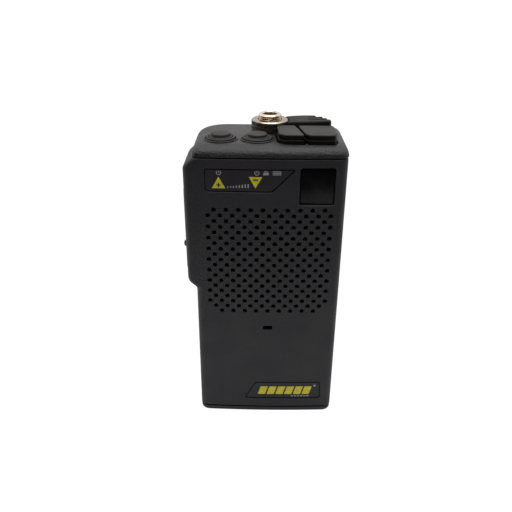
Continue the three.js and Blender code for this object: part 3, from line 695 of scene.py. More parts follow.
def front_case():
    s = case_skin("front_case_look")
    cut(s, split_cutter("c", True))
    cut(s, cavity("c", 4.6, 140), box("c", -25, 25, 0.6, 12, -2, 8))
    p = PTT
    cut(s, box("c", -33.2, -28.9, p["y"] - p["hy"] - 1.4, p["y"] + p["hy"] + 1.4, p["z"] - p["hz"] - 1.6, p["z"] + p["hz"] + 1.6))
    w = rect(p["y"] - p["hy"] - 0.3, p["y"] + p["hy"] + 0.3, p["z"] - p["hz"] - 0.3, p["z"] + p["hz"] + 0.3, 2.4, 6)
    f = axis_map("X")
    rings = [[f(u, v, x) for u, v in grown(w, g)] for x, g in [(-40, 5.25), (-35.1, 0.35), (-34.75, 0.0), (-30, 0.0)]]
    cut(s, loft("c", rings))
    holes = []
    prof_y = lambda x: crown(x)
    for r in range(20):
        z = 105.8 - 2.54 * r
        if r == 19:
            ks = [2 * k for k in range(-4, 5)]
        elif r % 2 == 0:
            ks = [2 * k + 1 for k in range(-5, 5)]
        else:
            ks = [2 * k for k in range(-5, 6)]
        for k in ks:
            x = 0.1 + 2.54 * k
            y = prof_y(x)
            pr = [(0, y - 1.0), (2.09, y - 1.0), (1.0, y + 0.09), (0.97, y + 0.3), (0.97, -16.0), (0, -16.0)]
            holes.append(lathe("h", pr, (x, z), "Y", 16))
    cut(s, merged("holes", holes))
    cut(s, crowned("c", [(-1.95, 47.45), (2.35, 47.45), (2.35, 49.6), (-1.95, 49.6)], [0.95, 0.5, 0.5, 0.95], [(0.75, -0.6), (0.0, 0.15), (0.0, 4.0)], 0.5))
    x0, x1, z0, z1 = WINDOW
    cut(s, crowned("c", [(x0, z0), (x1, z0), (x1, z1), (x0, z1)], [1.0, 1.0, 1.1, 1.1], [(0.8, -0.6), (0.0, 0.22), (0.0, 4.5)]))
    cut(s, crowned("c", LABEL, LABEL_R, [(0.85, -0.7), (0.0, 0.16), (0.0, 0.80)]))
    cut(s, crowned("c", BADGE, BADGE_R, [(0.80, -0.7), (0.0, 0.14), (0.0, 0.80)]))
    return done(s, "housing", "case", "front_case", weighted=True)


def rear_case():
    s = case_skin("rear_case_look")
    cut(s, split_cutter("c", False))
    cut(s, cavity("c", -2, 140))
    add(s, cyl("c", (-20.0, 118.5), 3.8, 15.7, 18.0, "Y"), cyl("c", (20.0, 118.5), 3.8, 15.7, 18.0, "Y"))
    drills = []
    for sx in (-1, 1):
        drills.append(lathe("d", [(0, 14), (1.5, 14), (1.5, 17.2), (2.9, 17.2), (2.9, 19.2), (4.2, 20.5), (0, 20.5)], (sx * 20.0, 118.5), "Y", 40))
        drills.append(lathe("d", [(0, 16), (2.8, 16), (2.8, 19.25), (4.1, 20.55), (0, 20.55)], (sx * 14.0, 10.0), "Y", 40))
        drills.append(lathe("d", [(0, 16), (1.4, 16), (1.4, 21), (0, 21)], (sx * 5.5, 88.5), "Y", 24))
    cut(s, merged("drills", drills))
    w = rect(-6.3, 6.3, 4.7, 15.7, 0.8, 4)
    f = axis_map("Y")
    cut(s, loft("c", [[f(u, v, y) for u, v in grown(w, g)] for y, g in [(16, 0), (19.2, 0), (20.3, 1.1)]]))
    cut(s, box("c", -7.6, 7.6, 18.0, 19.2, 4.7, 19.0))
    w = rect(-15, 15, 22, 42, 1.2, 5)
    cut(s, loft("c", [[f(u, v, y) for u, v in grown(w, g)] for y, g in [(19.1, 0), (19.4, 0), (20.5, 1.1)]]))
    # moulded grip ribs down both flanks of the back
    ribs = []
    for sx in (-1, 1):
        for k in range(9):
            z = 50.0 + 3.0 * k
            q = rect(sx * 19.6 - 3.6, sx * 19.6 + 3.6, z - 0.55, z + 0.55, 0.54, 5)
            ribs.append(loft("c", [[f(u, v, y) for u, v in grown(q, g)] for y, g in [(19.12, -0.25), (19.2, 0), (19.38, 0), (20.4, 0.9)]]))
    cut(s, merged("ribs", ribs))
    return done(s, "housing", "case", "rear_case", weighted=True)


front_case()
rear_case()

# ---------------------------------------------------------------- inlaid labels
PL = 0.38   # gap from the recess edge to the plate


def plate(name, poly, radii, mat, node, top=0.10):
    o = crowned(name, poly, radii, [(-PL - 0.16, top), (-PL - 0.05, top + 0.04), (-PL, top + 0.16), (-PL, 0.76)])
    return done(o, "housing", mat, node, weighted=True)


plate("control_label_look", [(-26.1, 113.72), (0.95, 113.72), (10.5, 123.3), (-26.1, 123.3)], LABEL_R, "label", "control_label")
plate("badge_plate_look", [(-10.4, 7.95), (26.15, 7.95), (25.65, 17.6), (-5.2, 17.6)], BADGE_R, "badge", "badge_plate", 0.08)


def print_piece(name, outlines, top, mat, thick=0.045, radii=0.06):
    """Raised ink: closed x, z outlines laid on the crowned plate."""
    parts = []
    for o in outlines:
        o = np.asarray(o, float)
        q = rounded([tuple(p) for p in o], radii, 2) if radii and len(o) < 9 else o
        rings = [[(x, crown(x) + top - 0.004, z) for x, z in q], [(x, crown(x) + top - thick, z) for x, z in q]]
        parts.append(loft(name, rings))
    o = merged(name, parts)
    return done(o, "housing", mat, weighted=False)


def ring_outline(x, z, r, w, a0=0, a1=360, n=28):
    a = np.radians(np.linspace(a0, a1, n))
    o = [(x + (r + w / 2) * math.sin(t), z + (r + w / 2) * math.cos(t)) for t in a]
    i = [(x + (r - w / 2) * math.sin(t), z + (r - w / 2) * math.cos(t)) for t in a]
    return o + i[::-1]


def bar(x0, z0, x1, z1, w):
    d = np.array([x1 - x0, z1 - z0])
    d /= np.linalg.norm(d)
    n = np.array([-d[1], d[0]]) * w / 2
    a, b = np.array([x0, z0]), np.array([x1, z1])
    return [tuple(a - n), tuple(b - n), tuple(b + n), tuple(a + n)]


T = 0.10
print_piece("mark_triangle_up", [[(-23.2, 115.2), (-17.75, 115.2), (-20.45, 120.1)]], T, "yellow")
print_piece("mark_triangle_down", [[(-8.35, 120.15), (-5.65, 115.35), (-2.9, 120.15)]], T, "yellow")
print_piece("mark_plus", [bar(-21.35, 116.6, -19.55, 116.6, 0.5), bar(-20.45, 115.7, -20.45, 117.5, 0.5)], T - 0.045, "dark_ink", 0.02)
print_piece("mark_minus", [bar(-6.75, 118.9, -4.5, 118.9, 0.55)], T - 0.045, "dark_ink", 0.02)
# power ring, hold padlock and a volume wedge in pale ink
print_piece("mark_power", [ring_outline(-20.35, 121.75, 0.86, 0.32, 38, 322), bar(-20.35, 121.75, -20.35, 122.75, 0.32)], T, "pale", radii=0)
hold = [ring_outline(-5.1, 121.75, 0.86, 0.32, 38, 322), bar(-5.1, 121.75, -5.1, 122.75, 0.32)]
hold += [[(-2.6, 120.9), (-0.4, 120.9), (-0.4, 121.95), (-2.6, 121.95)], ring_outline(-1.5, 121.95, 0.60, 0.28, -90, 90, 14)]
hold += [bar(1.2, 121.1, 4.6, 121.1, 0.34), bar(1.2, 121.75, 4.6, 121.75, 0.34), bar(1.2, 122.4, 4.6, 122.4, 0.34)]
print_piece("mark_hold", hold, T, "pale", radii=0)
steps_ = [bar(-16.8 + 1.18 * k, 115.5, -16.8 + 1.18 * k, 116.0 + 0.17 * k, 0.55) for k in range(8)]
print_piece("mark_volume_steps", steps_, T, "pale", radii=0)
# badge: plain slanted bars, a thin line and a dot
sl = math.tan(rad(17))
bars, x = [], -3.9
for w in (3.5, 3.5, 3.5, 3.5, 3.5, 3.5):
    bars.append([(x, 10.4), (x + w, 10.4), (x + w + 4.6 * sl, 15.0), (x + 4.6 * sl, 15.0)])
    x += w + 0.72
print_piece("badge_bars", bars, 0.08, "yellow", radii=0.25)
print_piece("badge_line", [bar(12.2 + 1.5 * k, 9.25, 13.2 + 1.5 * k, 9.25, 0.42) for k in range(6)], 0.08, "white", radii=0)
print_piece("badge_dot", [[(23.35 + 0.62 * math.cos(a), 15.35 + 0.62 * math.sin(a)) for a in np.radians(np.arange(0, 360, 18))]], 0.08, "pale", radii=0)


# --------------------------------------------------------------------- top cap
BTN = [(-20.0, -7.3), (-5.1, -7.5)]
LEFT_KEY = [(3.5, -12.2), (6.0, -14.65), (13.6, -14.65), (10.6, 1.0), (4.7, 1.0), (3.0, -0.6)]
RIGHT_KEY = [(15.9, -14.65), (25.6, -14.65), (26.6, -12.6), (26.6, 1.0), (11.75, 1.0), (14.3, -12.6)]
ANT = (0.17, 8.0)


def top_cap():
    rings = []
    for z, i in ((127.82, 0.26), (127.86, 0.12), (127.93, 0.03), (128.0, 0.0)):
        rings.append([(x, y, z) for x, y in plan(z, i - 0.15, i - 0.15, i, i)])
    N = 22
    for k in range(1, N + 1):
        a = rad(90 * k / N)
        t = 1 - math.cos(a)
        z = 128.0 + 4.4 * math.sin(a)
        rings.append([(x, y, z) for x, y in plan(z, 4.2 * t - 0.15, 3.2 * t - 0.15, 6.0 * t, 3.0 * t, 3.0 + 2 * t, 12.0 - 3 * t, 9.4 - 3 * t)])
    s = loft("top_cap_look", rings)
    inner = rounded([(-29.1, -17.3), (29.2, -17.3), (29.2, 17.5), (-29.1, 17.5)], [1.4, 1.4, 7.4, 10.0], 8)
    upper = rounded([(-28.0, -16.3), (28.5, -16.3), (28.5, 16.1), (-28.0, 16.1)], [2.0, 2.0, 6.0, 8.6], 8)
    cut(s, loft("c", [[(x, y, 126) for x, y in inner], [(x, y, 128.8) for x, y in inner], [(x, y, 130.4) for x, y in upper]]))
    # spigot that reaches down inside the case and closes the parting line
    ring = prism("k", grown(inner, -0.1), 125.8, 129.9)
    add(s, cut(ring, prism("k", grown(inner, -1.05), 125.0, 131.0)))
    band = loft("k", [[(x, y, z) for x, y in plan(z, 1.0, 1.0, 1.0, 1.0)] for z in (127.37, 128.3)])
    add(s, cut(band, prism("k", grown(inner, -1.05), 126.0, 131.0)))
    for x, y in BTN:
        add(s, lathe("r", [(5.6, 131.2), (7.12, 131.2), (7.12, 132.62), (7.08, 132.72), (6.98, 132.80), (6.84, 132.83), (5.6, 132.83)], (x, y), "Z", 72))
    cutters = []
    for x, y in BTN:
        cutters.append(lathe("w", [(0, 120), (6.38, 120), (6.38, 132.55), (6.42, 132.68), (6.52, 132.79), (6.66, 132.86), (6.7, 140), (0, 140)], (x, y), "Z", 72))
    cut(s, merged("wells", cutters))
    for kk in (LEFT_KEY, RIGHT_KEY):
        g = rounded([tuple(p) for p in grown(kk, 0.62)], 0.9, 5)
        cut(s, loft("c", [[(x, y, z) for x, y in grown(g, e)] for z, e in ((128, 0), (132.15, 0), (132.6, 0.35), (140, 0.35))]))
    cut(s, cyl("c", ANT, 5.25, 120, 140), cyl("c", (14.5, 8.5), 2.9, 120, 140), cyl("c", (21.5, 8.5), 2.4, 120, 140))
    return done(s, "housing", "cap", "top_cap", weighted=True)


top_cap()

# ------------------------------------------------------------- buttons and keys
for nm, body, (bx, by) in (("volume_up_button", "volume_up", BTN[0]), ("volume_down_button", "volume_down", BTN[1])):
    z = Z_TOP
    prof = [(0, 128.9), (1.6, 128.9), (1.6, 129.4), (7.2, 129.4), (7.2, 130.1), (6.05, 130.1), (6.05, z + 0.55), (5.99, z + 0.76), (5.85, z + 0.90), (5.55, z + 0.96), (5.25, z + 0.92),
            (5.08, z + 0.72), (5.0, z + 0.45), (4.80, z + 0.45), (4.72, z + 0.80), (4.58, z + 1.0), (4.38, z + 1.08), (4.14, z + 1.10), (4.05, z + 1.22), (4.02, z + 1.95), (3.95, z + 2.18), (3.78, z + 2.34),
            (3.4, z + 2.43), (2.4, z + 2.49), (1.2, z + 2.53), (0, z + 2.54)]
    done(lathe(nm + "_look", prof, (bx, by), "Z", 80), body, "key", nm, angle=50, weighted=False)


def key(name, body, pts, lower):
    def ring(z, g, r):
        q = rounded([tuple(p) for p in grown_by(pts, g)], r, 6)
        return [(x, y, z) for x, y in q]

    def grown_by(p, g):
        return grown(p, g)
    top = 136.0
    rings = [ring(128.6, lower, 1.1), ring(133.45, lower, 1.1), ring(133.62, lower - 0.04, 1.1), ring(133.70, lower - 0.13, 1.1),
             ring(133.73, -0.10, 1.1), ring(133.84, -0.15, 1.1), ring(133.98, -0.07, 1.1), ring(134.1, 0.0, 1.1), ring(135.5, 0.0, 1.1), ring(135.74, -0.05, 1.1), ring(135.9, -0.17, 1.1), ring(135.98, -0.33, 1.05), ring(top, -0.55, 0.95)]
    s = loft(name + "_look", rings)
    o = done(s, body, "key", name, angle=50, weighted=False, mats=["key", "side"])
    for p in o.data.polygons:
        # faces below the keys' top edge take the darker copy of the rubber: painted shade on the keys' sides
        p.material_index = 1 if p.center.z < 0.1356 else 0
    return o


key("left_key", "left_key_cap", LEFT_KEY, 0.13)
key("right_key", "right_key_cap", RIGHT_KEY, 0.13)

COVER_TOP = (136.75, 137.55)   # at its left and right ends


def cover_outline():
    """Wraps round the aerial nut at its left end; the ends of the ribs step its back edge."""
    arc = [(ANT[0] + 8.22 * math.cos(a), ANT[1] + 8.22 * math.sin(a)) for a in np.radians(np.arange(39, -42, -5))]
    right = [(25.2, 2.6), (25.9, 3.3), (25.9, 5.35), (25.7, 5.85), (24.9, 5.9), (24.6, 6.3), (24.6, 8.1), (24.3, 8.6), (23.3, 8.65), (23.0, 9.05), (23.0, 10.9), (22.6, 11.4),
             (20.7, 11.45), (20.3, 11.9), (20.2, 13.4), (19.6, 14.1), (15.5, 14.9), (11.0, 14.8), (8.0, 14.2)]
    return np.array(arc + right)


def jack_cover():
    tz = lambda x: COVER_TOP[0] + (COVER_TOP[1] - COVER_TOP[0]) * (x - 6.5) / 20.0
    base = cover_outline()
    rings = []
    for zz, top, g in ((132.7, False, -0.25), (132.85, False, -0.05), (133.1, False, 0.0), (133.9, False, 0.0), (134.05, False, -0.22), (134.35, False, -0.22), (134.5, False, 0.0), (-0.62, True, 0.0), (-0.36, True, -0.07), (-0.14, True, -0.26), (-0.03, True, -0.5), (0.0, True, -0.7)):
        q = grown(base, g)
        rings.append([(x, y, tz(x) + zz if top else zz) for x, y in q])
    s = loft("jack_cover_look", rings)
    f = axis_map("X")
    grooves = []
    for y in (5.9, 8.65, 11.45):
        q = [(y + 0.38 * math.cos(a), 136.75 + 0.45 * math.sin(a)) for a in np.radians(np.arange(180, 361, 22.5))] + [(y + 0.5, 138.6), (y - 0.5, 138.6)]
        grooves.append(loft("g", [[f(u, v, x) for u, v in q] for x in (16.5, 31.0)]))
    cut(s, merged("grooves", grooves))
    add(s, cyl("c", (14.5, 8.5), 1.35, 127.5, 133.4, b=0.25), cyl("c", (21.5, 8.5), 0.95, 127.5, 133.4, b=0.25))
    return done(s, "dust_cover", "cover", "jack_cover", angle=40, weighted=False)


jack_cover()


# -------------------------------------------------------------- aerial fitting
def nut():
    teeth = 84
    prof = [(5.2, 132.7), (7.35, 132.7), (7.62, 132.85), (7.72, 133.05), (7.72, 134.5), (7.45, 134.64), (7.36, 134.76), (7.45, 134.88), (7.76, 135.02), (7.76, 136.55),
            (7.74, 136.64), (7.40, 137.02), (7.28, 137.06), (5.35, 137.08), (5.2, 136.95)]

    def knurl(a, h, r):
        if 133.0 < h < 134.55 or 135.0 < h < 136.6:
            return 0.13 * (1 if math.sin(a * teeth + 0.4) > 0 else -1)
        if r > 7.7:
            return 0.04 * (1 if math.sin(a * teeth + 0.4) > 0 else -1)
        return 0.0
    o = lathe("antenna_nut_look", prof, ANT, "Z", teeth * 4, knurl)
    return done(o, "housing", "nickel", "antenna_nut", angle=28, weighted=False)


def bush():
    n, dz = 96, 0.085
    pitch, depth = 0.78, 0.40
    z0, z1 = 130.4, 138.75
    rows = int((z1 - z0) / dz)
    verts, faces = [], []
    cx, cy = ANT

    def ring(rf, z):
        b = len(verts)
        for k in range(n):
            a = 2 * math.pi * k / n
            r = rf(a) if callable(rf) else rf
            verts.append((cx + r * math.cos(a), cy + r * math.sin(a), z))
        return b
    starts = []
    for r, z in ((2.6, 122.0), (4.85, 122.0), (4.93, 122.1), (4.93, 128.0), (6.3, 128.0), (6.4, 128.1), (6.4, 130.0), (6.3, 130.1), (4.6, 130.1)):
        starts.append(ring(r, z))
    for i in range(rows + 1):
        z = z0 + dz * i
        fade = min(1.0, (z - z0) / 0.5, max(0.0, (z1 - z)) / 0.3 + 0.25)

        def rf(a, z=z, fade=fade):
            p = ((z / pitch) + a / (2 * math.pi)) % 1.0
            t = abs(2 * p - 1)
            t = min(1.0, max(0.0, (t - 0.12) / 0.76))
            return 4.93 - depth * fade * t
        starts.append(ring(rf, z))
    for r, z in ((4.72, 138.95), (4.35, 139.25), (4.05, 139.38), (3.55, 139.4), (3.3, 139.33), (3.14, 139.15), (3.1, 138.9), (3.1, 131.0), (2.6, 131.0)):
        starts.append(ring(r, z))
    m = len(starts)
    for i in range(m):
        a, b = starts[i], starts[(i + 1) % m]
        for k in range(n):
            j = (k + 1) % n
            faces.append((a + k, a + j, b + j, b + k))
    o = obj_from("antenna_bush_look", verts, faces)
    return done(o, "housing", "bush", "antenna_bush", angle=40, weighted=False)


nut()
bush()
done(lathe("antenna_insulator_look", [(0.9, 123), (2.2, 123), (2.3, 123.1), (2.3, 130.45), (2.15, 130.6), (1.25, 130.6), (1.05, 130.45), (0.9, 130.45)], ANT, "Z", 48), "housing", "ptfe", "antenna_insulator", weighted=False)
done(lathe("antenna_contact_look", [(0, 121), (0.5, 121), (0.6, 121.1), (0.6, 130.9), (0.5, 131.1), (0.32, 131.2), (0.3, 129.5), (0, 129.4)], ANT, "Z", 32), "housing", "brass", "antenna_contact", weighted=False)


# ------------------------------------------------------------------ talk bar
def ptt():
    p = PTT
    f = axis_map("X")
    w = rect(p["y"] - p["hy"], p["y"] + p["hy"], p["z"] - p["hz"], p["z"] + p["hz"], 2.2, 7)
    rings = []
    for x, g in ((-31.9, 0.95), (-32.7, 0.95), (-32.7, 0.0), (-34.7, 0.0), (-35.0, -0.06), (-35.22, -0.22), (-35.34, -0.45), (-35.38, -0.75), (-35.38, -1.15), (-35.28, -1.32), (-35.24, -1.5)):
        rings.append([f(u, v, x) for u, v in grown(w, g)])
    s = loft("ptt_pad_look", rings)
    ribs = []
    for k in range(7):
        z = 99.0 + 1.9 * k
        q = rect(p["y"] - 5.6, p["y"] + 5.6, z - 0.42, z + 0.42, 0.41, 4)
        ribs.append(loft("r", [[f(u, v, x) for u, v in grown(q, g)] for x, g in ((-34.8, 0.0), (-35.28, 0.0), (-35.38, -0.08), (-35.42, -0.22))]))
    add(s, merged("ribs", ribs))
    prof = [(0, -36.6), (0.45, -36.57), (0.85, -36.45), (1.2, -36.2), (1.5, -35.8), (1.7, -35.45), (1.95, -35.22), (2.25, -35.12), (2.25, -34.5), (0, -34.5)]
    add(s, lathe("n", prof, (-11.5, 87.2), "X", 40))
    return done(s, "ptt_bar", "ptt", "ptt_pad", angle=38, weighted=False)


ptt()


# -------------------------------------------------------------------- display
def display():
    x0, x1, z0, z1 = WINDOW
    w = rect(x0 + 0.3, x1 - 0.3, z0 + 0.3, z1 - 0.3, 0.8, 5)
    f = axis_map("Y")
    s = loft("display_lens_look", [[f(u, v, y) for u, v in grown(w, g)] for y, g in ((-18.3, -0.18), (-18.24, -0.05), (-18.1, 0.0), (-16.2, 0.0))])
    add(s, box("c", x0 - 0.9, x1 + 0.9, -17.0, -15.8, z0 - 0.7, z1 + 0.9))
    done(s, "housing", "lens", "display_lens", weighted=False)
    body = prism("display_module_look", rect(x0 + 0.6, x1 - 0.6, z0 + 1.2, 122.9, 0.4, 3), -15.5, -11.5, "Y", 0.15, 0.15)
    done(body, "housing", "module", "display_module")
    segs = []
    for cx in (15.7, 22.4):
        zc, hw, hh, t = 116.2, 1.75, 3.1, 0.62
        L = lambda a, b, c, d: bar(cx + a + (b) * 0.12, zc + b, cx + c + (d) * 0.12, zc + d, t)
        for a in ((-hw + .4, 2 * hh, hw - .4, 2 * hh), (-hw + .4, 0, hw - .4, 0), (-hw + .4, -2 * hh, hw - .4, -2 * hh),
                  (-hw, 0.45, -hw, 2 * hh - .45), (hw, 0.45, hw, 2 * hh - .45), (-hw, -0.45, -hw, -2 * hh + .45), (hw, -0.45, hw, -2 * hh + .45)):
            a = (a[0], a[1] * 0.8, a[2], a[3] * 0.8)
            segs.append(loft("s", [[(x, -15.5, z) for x, z in L(*a)], [(x, -15.56, z) for x, z in L(*a)]]))
        segs.append(loft("s", [[(cx + 2.75 + .4 * math.cos(t2), -15.5, zc - 5.0 + .4 * math.sin(t2)) for t2 in np.radians(np.arange(0, 360, 30))],
                               [(cx + 2.75 + .4 * math.cos(t2), -15.56, zc - 5.0 + .4 * math.sin(t2)) for t2 in np.radians(np.arange(0, 360, 30))]]))
    done(merged("display_segments", segs), "housing", "seg", weighted=False)


M["seg"] = paint("unlit_segment", (0.10, 0.095, 0.09), 0.4)
M["module"] = paint("led_module", (0.012, 0.011, 0.012), 0.5)
display()


# --------------------------------------------------------------- battery pack
def battery():
    rings = []
    for z, i in ((0.0, 0.75), (0.08, 0.50), (0.25, 0.26), (0.5, 0.09), (0.85, 0.0), (2.1, 0.0), (2.27, 0.07), (2.36, 0.22)):
        rings.append([(x, y, z) for x, y in plan(z, i, i, i, i, rf=4.0)])
    s = loft("battery_tray_look", rings)
    hx, y0, y1, top, c = 22.6, 1.0, 17.1, 109.5, 2.6
    foot = rounded([(-hx, y0), (hx, y0), (hx, y1 - c), (hx - c, y1), (-hx + c, y1), (-hx, y1 - c)], 0.6, 4)
    add(s, prism("t", foot, 1.2, top, "Z", 0.0, 0.35))
    cut(s, box("c", -hx + 0.7, hx - 0.7, y0 + 0.7, 25, 4.6, 107.2))
    add(s, loft("k", [[(x, y, z) for x, y in plan(z, i, i, i, i, rf=4.0)] for z, i in ((1.6, 3.2), (2.7, 3.2), (2.84, 3.34))]))
    # grip recess under the foot
    cut(s, prism("c", rect(-9, 9, -6, 6, 2.0, 6), -1, 0.35, "Z"))
    f = axis_map("Y")
    ribs = []
    for k in range(5):
        z = 20 + 18 * k
        ribs.append(box("r", -hx + 0.2, hx - 0.2, y0 - 0.0, y0 + 1.25, z - 0.4, z + 0.4))
    add(s, merged("ribs", ribs))
    done(s, "battery_pack", "base", "battery_tray")
    n = 1
    for row in (0, 1):
        for col in (-1, 0, 1):
            a = 5.4 + row * 50.8
            b = a + 50.2
            up = (col + row) % 2 == 0
            r = 7.05
            pr = [(0, 0.15), (4.6, 0.15), (4.9, 0.0), (5.6, 0.0), (5.9, 0.12), (6.5, 0.12), (6.85, 0.2), (r, 0.5), (r, 47.9), (6.9, 48.4), (6.5, 48.65), (5.9, 48.7), (5.7, 48.55), (3.3, 48.55), (3.1, 48.8),
                  (2.75, 48.95), (2.75, 50.0), (2.6, 50.2), (0, 50.2)]
            pr = [(q, a + h if up else b - h) for q, h in pr]
            o = lathe("battery_cell_%d_look" % n, pr, (col * 14.8, 9.1), "Z", 56)
            o = done(o, "battery_pack", "sleeve", "battery_cell_%d" % n, weighted=False, mats=["sleeve", "steel"])
            for p in o.data.polygons:
                rr = max(math.hypot(o.data.vertices[v].co.x * 1000 - col * 14.8, o.data.vertices[v].co.y * 1000 - 9.1) for v in p.vertices)
                rm = min(math.hypot(o.data.vertices[v].co.x * 1000 - col * 14.8, o.data.vertices[v].co.y * 1000 - 9.1) for v in p.vertices)
                p.material_index = 1 if rr < 6.0 else 0
            n += 1


battery()
for nm, x, body in (("pack_contact_positive", -10, "battery_pack"), ("pack_contact_negative", 10, "battery_pack")):
    o = prism(nm + "_look", rect(x - 2.5, x + 2.5, 5, 12, 0.6, 4), 109.8, 110.2, "Z", 0.0, 0.1)
    done(o, body, "brass", nm)


# ------------------------------------------------------ latch, contacts, screws
def latch():
    s = prism("battery_latch_look", rect(-6, 6, 6, 12.6, 0.7, 4), 17.5, 19.4, "Y", 0.1, 0.3)
    add(s, prism("t", rect(-7.3, 7.3, 6, 16.2, 0.4, 3), 18.3, 18.9, "Y", 0.08, 0.08))
    f = axis_map("X")
    for z in (7, 8.6, 10.2, 11.8):
        q = [(19.2, z - 0.45), (19.75, z - 0.38), (20.0, z - 0.22), (20.1, z), (20.0, z + 0.22), (19.75, z + 0.38), (19.2, z + 0.45)]
        add(s, loft("r", [[f(u, v, x) for u, v in q] for x in (-5.2, 5.2)]))
    done(s, "latch_slider", "base", "battery_latch")


latch()
for nm, x in (("charge_contact_left", -14), ("charge_contact_right", 14)):
    done(lathe(nm + "_look", [(0, 17.6), (2.4, 17.6), (2.5, 17.7), (2.5, 19.1), (2.35, 19.27), (2.15, 19.3), (1.7, 19.22), (0, 19.16)], (x, 10), "Y", 48), "housing", "nickel", nm, weighted=False)


def screw(name, x, z, tip, seat, top, r, rh):
    prof = [(0, tip), (r - 0.3, tip + 0.4)]
    k = 0
    y = tip + 0.9
    while y < seat - 1.2:
        prof += [(r, y), (r - 0.22, y + 0.3)]
        y += 0.6
    prof += [(r, seat - 0.4), (r, seat), (rh - 0.08, seat), (rh, seat + 0.1), (rh, top - 0.7), (rh - 0.1, top - 0.45), (rh - 0.35, top - 0.22), (rh - 0.8, top - 0.06), (rh - 1.3, top), (0, top)]
    s = lathe(name + "_look", prof, (x, z), "Y", 40)
    w, l = 0.34, rh * 0.62
    f = axis_map("Y")
    for q0, q1 in (((l, w), (l * 0.55, w * 0.9)), ((w, l), (w * 0.9, l * 0.55))):
        a, b = rect(x - q0[0], x + q0[0], z - q0[1], z + q0[1]), rect(x - q1[0], x + q1[0], z - q1[1], z + q1[1])
        cut(s, loft("c", [[f(u, v, top + 0.5) for u, v in a], [f(u, v, top - 0.05) for u, v in a], [f(u, v, top - 1.1) for u, v in b]]))
    done(s, "housing", "steel", name)


screw("case_screw_1", -20.0, 118.5, 4.5, 17.5, 19.1, 1.2, 2.5)
screw("case_screw_2", 20.0, 118.5, 4.5, 17.5, 19.1, 1.2, 2.5)
screw("clip_screw_1", -5.5, 88.5, 17.5, 21.5, 22.8, 1.15, 2.3)
screw("clip_screw_2", 5.5, 88.5, 17.5, 21.5, 22.8, 1.15, 2.3)


# ------------------------------------------------------------------ belt clip
def clip():
    f = axis_map("X")
    s = prism("clip_bracket_look", rect(-10, 10, 84, 104, 1.8, 5), 19.8, 21.2, "Y", 0.12, 0.3)
    ear = rounded([(20.5, 93), (25, 95), (27.0, 97.5), (27.2, 100), (26, 102.2), (23, 103.2), (20.5, 103.2)], 1.2, 4)
    for x0 in (-10, 8):
        add(s, loft("e", [[f(u, v, x) for u, v in grown(ear, g)] for x, g in ((x0, -0.2), (x0 + 0.2, 0), (x0 + 1.8, 0), (x0 + 2.0, -0.2))]))
    cut(s, cyl("c", (24.2, 99.0), 1.5, -20, 20, "X", 32))
    for sx in (-1, 1):
        cut(s, cyl("c", (sx * 5.5, 88.5), 1.4, 19, 22, "Y", 24))
    done(s, "housing", "steel", "clip_bracket")
    done(cyl("clip_pin_look", (24.2, 99.0), 1.25, -9.8, 9.8, "X", 40, b=0.25), "housing", "steel", "clip_pin", weighted=False)
    P = [(24.6, 116), (24.9, 104), (26.2, 101.5), (26.9, 98), (26.3, 90), (26.1, 60), (25.7, 54), (24.2, 50.2), (21.4, 47.5), (20.2, 44.6), (20.6, 43.6), (21.8, 43.8),
         (23.4, 46.2), (26.1, 48.8), (27.6, 53), (28.2, 60), (28.6, 92), (29.2, 98), (28.8, 101.5), (27.3, 104.5), (26.9, 116), (26.2, 117), (25.2, 117)]
    R = [0.4, 3, 3, 4, 6, 8, 4, 3, 2.5, 0.5, 0.4, 0.6, 3, 3, 5, 8, 8, 3, 3, 3, 0.5, 0.4, 0.3]
    q = rounded(P, R, 4)
    rings = [[f(u, v, x) for u, v in grown(q, g)] for x, g in ((-7.7, -0.32), (-7.62, -0.14), (-7.45, -0.03), (-7.2, 0), (7.2, 0), (7.45, -0.03), (7.62, -0.14), (7.7, -0.32))]
    c = loft("belt_clip_look", rings)
    # stiffening channel down the outside, and thumb ribs at the top
    g = axis_map("Y")
    w = rect(-4.4, 4.4, 56, 90, 3.0, 6)
    cut(c, loft("c", [[g(u, v, y) for u, v in grown(w, e)] for y, e in ((27.75, -0.3), (28.1, 0.0), (32, 3.2))]))
    for k in range(5):
        z = 107.0 + 1.9 * k
        yb = 27.3 - (z - 104.5) * 0.4 / 11.5
        r = [(yb - 0.35, z - 0.5), (yb + 0.12, z - 0.34), (yb + 0.26, z), (yb + 0.12, z + 0.34), (yb - 0.35, z + 0.5)]
        add(c, loft("r", [[f(u, v, x) for u, v in r] for x in (-6.0, 6.0)]))
    for x0, x1 in ((-7.7, -4.2), (4.2, 7.7)):
        add(c, cyl("k", (24.2, 99.0), 2.9, x0, x1, "X", 40, b=0.15), box("k", x0 + 0.05, x1 - 0.05, 24.2, 27.5, 96.6, 101.4))
    cut(c, cyl("c", (24.2, 99.0), 1.5, -20, 20, "X", 32))
    done(c, "clip_lever", "case", "belt_clip", angle=34)
    # torsion spring
    turns, n, sidesn, rr, R0 = 4.5, 260, 12, 0.32, 2.0
    rings = []
    for k in range(n + 1):
        t = k / n
        a = rad(-60) + t * turns * 2 * math.pi
        ctr = Vector((-2.9 + 5.8 * t, 24.2 + R0 * math.cos(a), 99.0 + R0 * math.sin(a)))
        tan = Vector((5.8 / (turns * 2 * math.pi), -R0 * math.sin(a), R0 * math.cos(a))).normalized()
        n1 = Vector((0, math.cos(a), math.sin(a)))
        n2 = tan.cross(n1)
        rings.append([tuple(ctr + n1 * rr * math.cos(u) + n2 * rr * math.sin(u)) for u in np.linspace(0, 2 * math.pi, sidesn, endpoint=False)])
    done(loft("clip_spring_look", rings), "housing", "spring", "clip_spring", weighted=False)


clip()


